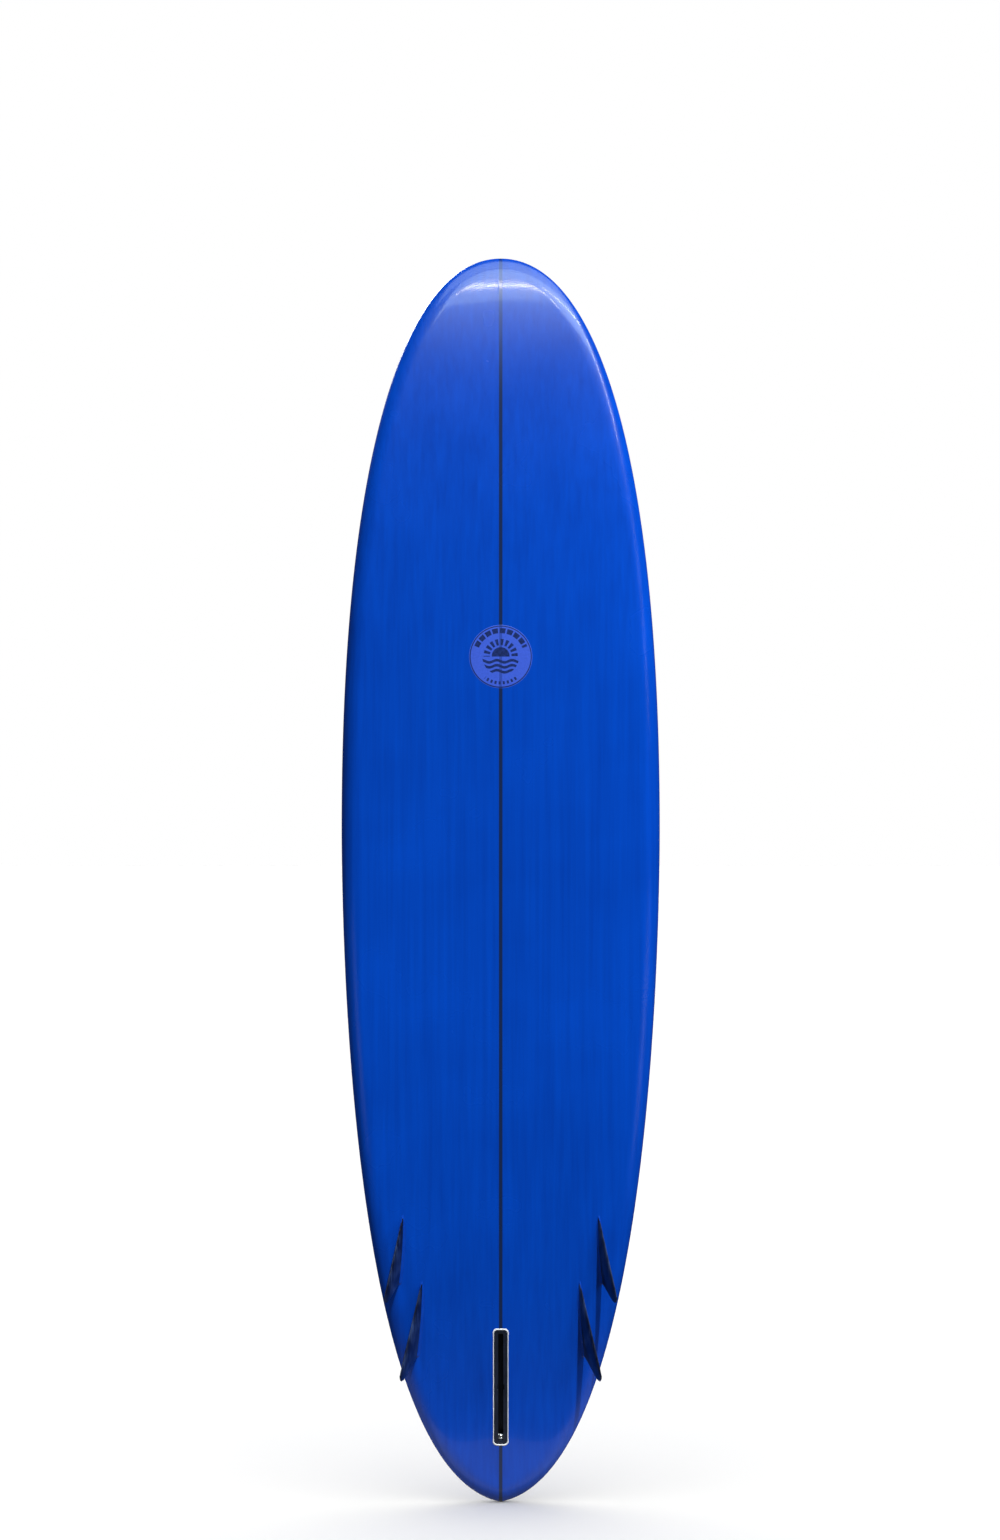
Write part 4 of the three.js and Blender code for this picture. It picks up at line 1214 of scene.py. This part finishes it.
def fin_blade(name, plane, material):
    """A fin: foil sections from below the board's surface up to a half-round tip.

    The thickness falls as 1 - 0.55 t^2 up the fin. Round the tip the last section's chord
    shrinks as a cosine while it moves out as a sine.
    """
    turn = 2 * np.pi * np.arange(64) / 64
    share = np.linspace(0, 1, 40)
    leading, trailing = plane.edges(share)
    thick = FIN_THICKNESS * (1 - 0.55 * share**2)
    root = np.array([0, -6 * MM])
    swing = np.linspace(0, np.pi / 2, 12)[1:]
    chord = trailing[-1] - leading[-1]
    length = np.linalg.norm(chord)
    outwards = np.array([-chord[1], chord[0]]) / length
    middle = (leading[-1] + trailing[-1]) / 2 + outwards * np.sin(swing)[:, None] * 0.3 * length
    half_chord = chord / 2 * np.cos(swing)[:, None]
    front = np.concatenate([[leading[0] + root], leading, middle - half_chord])
    back = np.concatenate([[trailing[0] + root], trailing, middle + half_chord])
    thick = np.concatenate([[FIN_THICKNESS], thick, thick[-1] * np.cos(swing)])
    points = plane.foil(front, back, thick, turn)
    foot = np.repeat(points[:1].mean(axis=1, keepdims=True), len(turn), axis=1)
    points = np.concatenate([foot, points])
    return add_piece(name, points, grid_faces(*points.shape[:2], ring_columns=True), material)


def fin_fillet(name, plane, material):
    """The hollow fillet at a fin's foot.

    Round the fin, its section is a curve from the blade, one radius up, by the corner between
    blade and board, to the board, one radius out: (1-s)^2 A + 2s(1-s) C + s^2 B. The radius
    out is 0.3 as long at the leading end. It closes under the surface and inside the blade.
    """
    count = 96
    turn = 2 * np.pi * np.arange(count) / count
    top_share = FILLET_RADIUS / plane.height * 0.9
    leading, trailing = plane.edges(np.array([0.0, top_share]))
    thick = np.full(2, FIN_THICKNESS)
    root, top = plane.foil(leading, trailing, thick, turn)
    along_root = (root - plane.origin) @ plane.along
    across_root = (root - plane.origin) @ plane.across
    ring = np.stack([along_root, across_root], -1)
    way = np.roll(ring, -1, axis=0) - np.roll(ring, 1, axis=0)
    outwards = np.stack([way[:, 1], -way[:, 0]], -1)
    outwards /= np.linalg.norm(outwards, axis=1, keepdims=True)
    if np.sum(outwards * (ring - ring.mean(0))) < 0:
        outwards = -outwards
    step = outwards[:, :1] * plane.along + outwards[:, 1:] * plane.across
    away = np.clip(ring[:, :1] / plane.base, 0, 1)
    base = root + step * FILLET_RADIUS * (0.3 + 0.7 * smooth(0.0, 0.3, away))
    corner = root.copy()
    corner[:, 1] = surface_height(corner[:, 0], corner[:, 2])
    foot = base.copy()
    foot[:, 1] = surface_height(foot[:, 0], foot[:, 2])
    s = np.linspace(0, 1, 12)[:, None, None]
    arc = (1 - s) ** 2 * top + 2 * s * (1 - s) * corner + s**2 * foot
    under = np.array([0, 1.2 * MM, 0])
    core = root - step * 1.0 * MM
    inside = np.stack([foot + under, corner + under * 2 - step * 0.6 * MM, top - step * 0.5 * MM])
    inside[-1] = top * 0.7 + core * 0.3 - plane.up * 0.5 * MM
    points = np.concatenate([arc, inside])
    faces = grid_faces(*points.shape[:2], ring_rows=True, ring_columns=True)
    return add_piece(name, points, faces, material, sharp=60)


# ---------------------------------------------------------------- studio

CAMERA_ACROSS = -1.2 * MM
ROOM_LIGHT = 0.02
FLOOR_HALF_SIDE = 40
FLOOR_GLOSS = 0.3  # how bright the floor is in surfaces that mirror it
GLINTING = ("_blade", "_foot", "_screw", "_bed", "_channel")  # endings of the fittings' names
KEY_WAY = np.array((-0.24, 0.45, -1.0))
OVERHEAD = np.array((0, 0, 5))
TAIL, LOW, HIGH, NOSE = (0, 0, 0.08), (0, 0, 0.7), (0, 0, 1.6), (0, 0, 2.1)


def aim(thing, place, target):
    """Puts a light or camera in place with its -Z axis towards the target."""
    thing.location = place
    way = thing.location.copy()
    way.xyz = np.array(target) - np.array(place)
    thing.rotation_euler = way.to_track_quat("-Z", "Y").to_euler()


def add_light(name, kind, place, target, power, shows=False):
    """A light that the camera can't see. shows says whether glossy surfaces mirror it."""
    light = bpy.data.lights.new(name, kind)
    light.energy = power
    lamp = bpy.data.objects.new(name, light)
    bpy.context.scene.collection.objects.link(lamp)
    aim(lamp, place, target)
    lamp.visible_camera = False
    lamp.visible_glossy = shows
    return lamp


def add_sun(name, target, power, angle, shows=False):
    """A distant light from overhead towards the target, that spans an angle in degrees."""
    lamp = add_light(name, "SUN", OVERHEAD, target, power, shows)
    lamp.data.angle = math.radians(angle)
    return lamp


def add_panel(name, place, target, size, radiance, shows="all", colour=(1, 1, 1)):
    """A rectangular soft light of an even radiance. shows names the surfaces: matt, gloss or all."""
    power = radiance * math.pi * size[0] * size[1]
    lamp = add_light(name, "AREA", place, target, power, shows != "matt")
    lamp.visible_diffuse = shows != "gloss"
    lamp.data.shape = "RECTANGLE"
    lamp.data.size, lamp.data.size_y = size
    lamp.data.color = colour
    return lamp


def receivers(lamp, things, state):
    """Lets a light shine on the things only (INCLUDE), or on all but them (EXCLUDE)."""
    group = bpy.data.collections.new(lamp.name + "_receivers")
    for thing in things:
        group.objects.link(thing)
    for member in group.collection_objects:
        member.light_linking.link_state = state
    lamp.light_linking.receiver_collection = group


def studio_world(backdrop, ambient):
    """White where the camera looks past the board, and a dim room everywhere else.

    Glossy surfaces that face down mirror the bright floor, through a gradient that starts
    about 25 degrees under the horizon and is full at 41 degrees.
    """
    world = bpy.data.worlds.new("studio")
    world.use_nodes = True
    tree = world.node_tree
    tree.nodes.clear()
    ray = add_node(tree, "ShaderNodeLightPath")
    way = add_node(tree, "ShaderNodeTexCoord")
    height = add_node(tree, "ShaderNodeSeparateXYZ", {0: way.outputs["Generated"]})
    below = add_node(
        tree,
        "ShaderNodeMapRange",
        {"Value": height.outputs[2], "From Min": -0.42, "From Max": -0.66, "To Max": FLOOR_GLOSS},
        interpolation_type="SMOOTHSTEP",
    )
    mirrored = add_node(
        tree,
        "ShaderNodeMath",
        {0: below.outputs[0], 1: ray.outputs["Is Glossy Ray"]},
        operation="MULTIPLY",
    )
    level = add_node(tree, "ShaderNodeMath", {0: mirrored.outputs[0], 1: ambient}, operation="ADD")
    room = add_node(
        tree, "ShaderNodeBackground", {"Color": opaque((1, 1, 1)), "Strength": level.outputs[0]}
    )
    white = add_node(tree, "ShaderNodeBackground", {"Color": opaque(backdrop), "Strength": 1.0})
    seen = add_node(
        tree,
        "ShaderNodeMixShader",
        {0: ray.outputs["Is Camera Ray"], 1: room.outputs[0], 2: white.outputs[0]},
    )
    add_node(tree, "ShaderNodeOutputWorld", {"Surface": seen.outputs[0]})
    bpy.context.scene.world = world


def painted_floor(colour):
    """Matt white painted floor, with roller marks about 0.4 m across that hardly show."""
    material, tree, shader, place = new_material("painted_floor")
    marks = add_node(tree, "ShaderNodeTexNoise", {"Vector": place, "Scale": 1 / 0.4, "Detail": 2.0})
    tint = add_node(
        tree,
        "ShaderNodeMix",
        {0: marks.outputs[0], 6: opaque(np.array(colour) * 0.98), 7: opaque(colour)},
        data_type="RGBA",
    )
    link(tree, tint.outputs[2], shader, "Base Color")
    shader.inputs["Roughness"].default_value = 1.0
    shader.inputs["Specular IOR Level"].default_value = 0.0
    return material


def floor_plane(name, material, half_side):
    """A flat square under the lowest point of the board, as a grid of two rows of points."""
    edge = np.array([-half_side, half_side])
    x, y = np.meshgrid(edge, edge)
    points = np.stack([x, y, np.full_like(x, CAD_LOW[2])], -1).reshape(-1, 3)
    mesh = bpy.data.meshes.new(name)
    mesh.from_pydata(points.tolist(), [], [(0, 1, 3, 2)])
    mesh.materials.append(material)
    floor = bpy.data.objects.new(name, mesh)
    bpy.context.scene.collection.objects.link(floor)
    floor.visible_glossy = False
    floor.visible_diffuse = False
    floor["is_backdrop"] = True
    return floor


def studio_camera(distance, height, lens):
    """The camera, level and square to the bottom."""
    camera = bpy.data.objects.new("camera", bpy.data.cameras.new("camera"))
    camera.data.lens = lens
    camera.data.clip_end = 100
    bpy.context.scene.collection.objects.link(camera)
    camera.location = (CAMERA_ACROSS, -distance, height)
    camera.rotation_euler = (math.pi / 2, 0, 0)
    bpy.context.scene.camera = camera


# ---------------------------------------------------------------- add-on


def colour_prop(name, description, code):
    """A colour property whose default is an sRGB hex code."""
    return bpy.props.FloatVectorProperty(
        name=name, description=description, subtype="COLOR", size=3, min=0, max=1, default=linear(code)
    )


class BoardSettings(bpy.types.PropertyGroup):
    """Colours and sizes of the skins and the badge."""

    tint_deep: colour_prop("Deep tint", "Bottom laminate where the resin is thick", "0038a0")
    tint_pale: colour_prop("Pale tint", "Bottom laminate where the resin is thin", "0046bc")
    deck_deep: colour_prop("Deep deck tint", "Deck laminate where the resin is thick", "053fa8")
    deck_pale: colour_prop("Pale deck tint", "Deck laminate where the resin is thin", "1452c8")
    stringer: colour_prop("Stringer line", "Stringer seen through the laminate", "15264a")
    stringer_width: bpy.props.FloatProperty(
        name="Stringer width",
        description="Width of the dark line in the laminate",
        default=6 * MM,
        min=1 * MM,
        max=20 * MM,
        unit="LENGTH",
    )
    paper: colour_prop("Badge paper", "Tissue of the badge under resin", "3c5ac8")
    ink: colour_prop("Badge ink", "Print of the badge", "14203f")


class FittingSettings(bpy.types.PropertyGroup):
    """Colours of the fins and fittings."""

    fin_deep: colour_prop("Deep fin", "Fin laminate between its threads", "060c20")
    fin_pale: colour_prop("Pale fin", "Threads of the fin laminate", "2c3f68")
    fillet_deep: colour_prop("Deep fillet", "Fillet resin between strands", "00309a")
    fillet_pale: colour_prop("Pale fillet", "Strands in the fillet resin", "0c48b4")
    nylon_dark: colour_prop("Dark nylon", "Fin box where it is clean", "080b14")
    nylon_pale: colour_prop("Worn nylon", "Fin box where it is rubbed", "1c2438")


class StudioSettings(bpy.types.PropertyGroup):
    """Camera and lights."""

    camera_distance: bpy.props.FloatProperty(
        name="Camera distance",
        description="From the rail line to the camera",
        default=6.034,
        min=1,
        unit="LENGTH",
    )
    camera_height: bpy.props.FloatProperty(
        name="Camera height", description="Over the floor", default=1.2803, min=0.1, unit="LENGTH"
    )
    lens: bpy.props.FloatProperty(
        name="Lens", description="Focal length in millimetres", default=80.62, min=10
    )
    key_power: bpy.props.FloatProperty(
        name="Key", description="Strength of the distant light high in front", default=5.1, min=0
    )
    sky_power: bpy.props.FloatProperty(
        name="Sky", description="Strength of the soft light on the floor", default=2.6, min=0
    )
    left_fill: bpy.props.FloatProperty(
        name="Left fill", description="Radiance of the low panel on the left", default=3.2, min=0
    )
    right_fill: bpy.props.FloatProperty(
        name="Right fill", description="Radiance of the low panel on the right", default=4.8, min=0
    )
    glint_power: bpy.props.FloatProperty(
        name="Glint", description="Strength of the key as glossy fittings mirror it", default=9.0, min=0
    )
    overhead_power: bpy.props.FloatProperty(
        name="Overhead", description="Strength of the narrower light on the floor", default=1.1, min=0
    )
    side_power: bpy.props.FloatProperty(
        name="Side", description="Radiance of the panel on the right of the nose", default=12.0, min=0
    )
    bar_power: bpy.props.FloatProperty(
        name="Bars", description="Radiance of the narrow panels over the nose", default=120.0, min=0
    )
    glow: colour_prop("Glow", "Light of the wide panels over the nose", "dcf6ff")
    backdrop: colour_prop("Backdrop", "Behind the board", "ffffff")
    floor: colour_prop("Floor", "Painted floor", "f4f4f3")


class SURFBOARD_OT_core(bpy.types.Operator):
    """Finish the foam halves and the stringer, which the skins cover"""

    bl_idname = "surfboard.core"
    bl_label = "Foam and stringer"

    def execute(self, context):
        foam, wood = shaped_foam(), stained_basswood()
        for node, material in (("foam_left", foam), ("foam_right", foam), ("stringer", wood)):
            piece = frame["nodes"][node]
            piece.data.materials.clear()
            piece.data.materials.append(material)
        return {"FINISHED"}


class SURFBOARD_OT_skins(bpy.types.Operator):
    """Make the tinted bottom skin, wrapped over the rails, and the deck skin"""

    bl_idname = "surfboard.skins"
    bl_label = "Skins"

    def execute(self, context):
        board = context.scene.surfboard_board
        line = (board.stringer, board.stringer_width / 2)
        bottom = tinted_laminate("tinted_bottom", board.tint_deep, board.tint_pale, *line)
        deck = tinted_laminate("tinted_deck", board.deck_deep, board.deck_pale, *line)
        skin = wrapped_skin("bottom_skin", bottom)
        cut_out(skin, box_cutter(bottom))
        stand_for(skin, "board", "bottom_resin", "bottom_glass")
        skin = deck_skin("deck_skin", deck)
        cut_out(skin, plug_cutter(deck))
        stand_for(skin, "board", "deck_resin", "deck_glass")
        return {"FINISHED"}


class SURFBOARD_OT_badge(bpy.types.Operator):
    """Lay the printed badge on the bottom"""

    bl_idname = "surfboard.badge"
    bl_label = "Badge"

    def execute(self, context):
        board = context.scene.surfboard_board
        low, high = (np.array(corner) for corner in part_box("badge"))
        material = printed_badge((low + high) / 2, (high[0] - low[0]) / 2, board.paper, board.ink)
        stand_for(badge_disc("badge_disc", material), "board", "badge_paper", "badge")
        return {"FINISHED"}


class SURFBOARD_OT_fin_box(bpy.types.Operator):
    """Make the centre fin box and the resin bed round it"""

    bl_idname = "surfboard.fin_box"
    bl_label = "Fin box"

    def execute(self, context):
        fitting = context.scene.surfboard_fittings
        nylon = moulded_nylon("moulded_nylon", fitting.nylon_dark, fitting.nylon_pale)
        channel = fin_channel("fin_channel", nylon)
        stand_for(channel, "board", "box_nylon", "fin_box")
        stand_for(resin_bed("fin_box_bed", white_resin()), "board", "white_resin", "fin_box_resin")
        return {"FINISHED"}


class SURFBOARD_OT_screw(bpy.types.Operator):
    """Make the fin screw and its sliding plate"""

    bl_idname = "surfboard.screw"
    bl_label = "Fin screw and plate"

    def execute(self, context):
        steel = turned_stainless()
        screw = pan_head_screw("pan_head_screw", steel)
        stand_for(screw, "fin_screw", "stainless", "fin_screw")
        stand_for(threaded_plate("threaded_plate", steel), "fin_plate", "stainless", "fin_plate")
        return {"FINISHED"}


class SURFBOARD_OT_side_fins(bpy.types.Operator):
    """Make the four side fins and the fillets at their feet"""

    bl_idname = "surfboard.side_fins"
    bl_label = "Side fins"

    def execute(self, context):
        fitting = context.scene.surfboard_fittings
        laminate = fin_laminate("fin_laminate", fitting.fin_deep, fitting.fin_pale)
        resin = fillet_resin(fitting.fillet_deep, fitting.fillet_pale)
        for end, fin in (("front", FRONT_FIN), ("rear", REAR_FIN)):
            for hand, side in (("left", -1), ("right", 1)):
                place = f"{end}_{hand}"
                plane = FinPlane(fin, side)
                blade = fin_blade(f"{place}_blade", plane, laminate)
                stand_for(blade, "board", "fin_laminate", f"{place}_fin")
                foot = fin_fillet(f"{place}_foot", plane, resin)
                stand_for(foot, "board", "fillet_resin", f"{place}_fillet")
        return {"FINISHED"}


class SURFBOARD_OT_leash_plug(bpy.types.Operator):
    """Make the leash plug in the deck"""

    bl_idname = "surfboard.leash_plug"
    bl_label = "Leash plug"

    def execute(self, context):
        fitting = context.scene.surfboard_fittings
        plastic = moulded_nylon("moulded_cup", fitting.nylon_dark, fitting.nylon_pale)
        for piece, slot, node in leash_parts(plastic, white_resin(), turned_stainless()):
            stand_for(piece, "board", slot, node)
        return {"FINISHED"}


class SURFBOARD_OT_studio(bpy.types.Operator):
    """Make the floor, the lights and the camera"""

    bl_idname = "surfboard.studio"
    bl_label = "Studio"

    def execute(self, context):
        studio = context.scene.surfboard_studio
        context.scene.view_settings.view_transform = "Standard"
        studio_world(studio.backdrop, ROOM_LIGHT)
        floor = floor_plane("floor", painted_floor(studio.floor), FLOOR_HALF_SIDE)
        studio_camera(studio.camera_distance, studio.camera_height, studio.lens)
        key = add_sun("key", OVERHEAD + KEY_WAY, studio.key_power, 1)
        glint = add_sun("glint", OVERHEAD + KEY_WAY, studio.glint_power, 12, shows=True)
        glint.visible_diffuse = False
        fittings = [o for o in bpy.data.objects if o.name.endswith(GLINTING)]
        receivers(glint, fittings, "INCLUDE")
        sky = add_sun("sky", (0, 0.4, 0), studio.sky_power, 150)
        overhead = add_sun("overhead", (0, 0, 0), studio.overhead_power, 50)
        for lamp in (sky, overhead):
            receivers(lamp, [floor], "INCLUDE")
        bar, glow = studio.bar_power, studio.glow
        panels = (
            add_panel("left_fill", (-0.75, -0.55, 0.72), LOW, (0.3, 0.5), studio.left_fill, "matt"),
            add_panel("right_fill", (0.75, -0.55, 0.72), LOW, (0.3, 0.5), studio.right_fill, "matt"),
            add_panel("side", (0.8, -0.6, 1.72), HIGH, (0.2, 0.6), studio.side_power, "matt"),
            add_panel("left_bounce", (-0.28, -0.06, 0.02), TAIL, (0.3, 0.3), 0.9, "matt"),
            add_panel("right_bounce", (0.28, -0.06, 0.02), TAIL, (0.3, 0.3), 1.4, "matt"),
            add_panel("front_bounce", (0, -0.4, 0.01), TAIL, (1.0, 0.3), 0.15, "matt"),
            add_panel("tip_bounce", (0, -0.12, 0.01), TAIL, (0.4, 0.12), 0.3),
            add_panel("nose_bar", (0.1, -2.9, 4.475), NOSE, (0.62, 0.016), bar, "gloss"),
            add_panel("arc_bar", (1.2, -2.38, 4.8), NOSE, (1.75, 0.04), bar / 2, "gloss"),
            add_panel("rail_bar", (2.0, -2.24, 3.95), NOSE, (0.06, 1.1), bar / 2, "gloss"),
            add_panel("nose_glow", (0.8, -2.7, 4.9), NOSE, (2.8, 0.95), 6.5, "all", glow),
            add_panel("top_glow", (0.4, -1.5, 5.2), NOSE, (3.6, 1.25), 3.5, "gloss", glow),
            add_panel("deck_light", (-2.5, 4.0, 5.0), (0, 0, 1.1), (3, 2), 20),
        )
        for lamp in (key, *panels):
            receivers(lamp, [floor], "EXCLUDE")
        return {"FINISHED"}


OPERATORS = (
    SURFBOARD_OT_core,
    SURFBOARD_OT_skins,
    SURFBOARD_OT_badge,
    SURFBOARD_OT_fin_box,
    SURFBOARD_OT_screw,
    SURFBOARD_OT_side_fins,
    SURFBOARD_OT_leash_plug,
    SURFBOARD_OT_studio,
)

SETTINGS = {
    "surfboard_board": BoardSettings,
    "surfboard_fittings": FittingSettings,
    "surfboard_studio": StudioSettings,
}


class SURFBOARD_PT_build(bpy.types.Panel):
    """Lists the sizes and colours, and the operators that build the pieces"""

    bl_label = "Surfboard"
    bl_idname = "SURFBOARD_PT_build"
    bl_space_type = "VIEW_3D"
    bl_region_type = "UI"
    bl_category = "Surfboard"

    def draw(self, context):
        for name, group in SETTINGS.items():
            for prop in group.__annotations__:
                self.layout.prop(getattr(context.scene, name), prop)
        for operator in OPERATORS:
            self.layout.operator(operator.bl_idname)


def register():
    """Registers the classes and puts the settings on the scene."""
    for cls in (*SETTINGS.values(), *OPERATORS, SURFBOARD_PT_build):
        bpy.utils.register_class(cls)
    for name, group in SETTINGS.items():
        setattr(bpy.types.Scene, name, bpy.props.PointerProperty(type=group))


def unregister():
    """Takes the settings and classes away again."""
    for name in SETTINGS:
        delattr(bpy.types.Scene, name)
    for cls in reversed((*SETTINGS.values(), *OPERATORS, SURFBOARD_PT_build)):
        bpy.utils.unregister_class(cls)


def main():
    register()
    bpy.ops.surfboard.core()
    bpy.ops.surfboard.skins()
    bpy.ops.surfboard.badge()
    bpy.ops.surfboard.fin_box()
    bpy.ops.surfboard.screw()
    bpy.ops.surfboard.side_fins()
    bpy.ops.surfboard.leash_plug()
    bpy.ops.surfboard.studio()


if __name__ == "__main__":
    main()
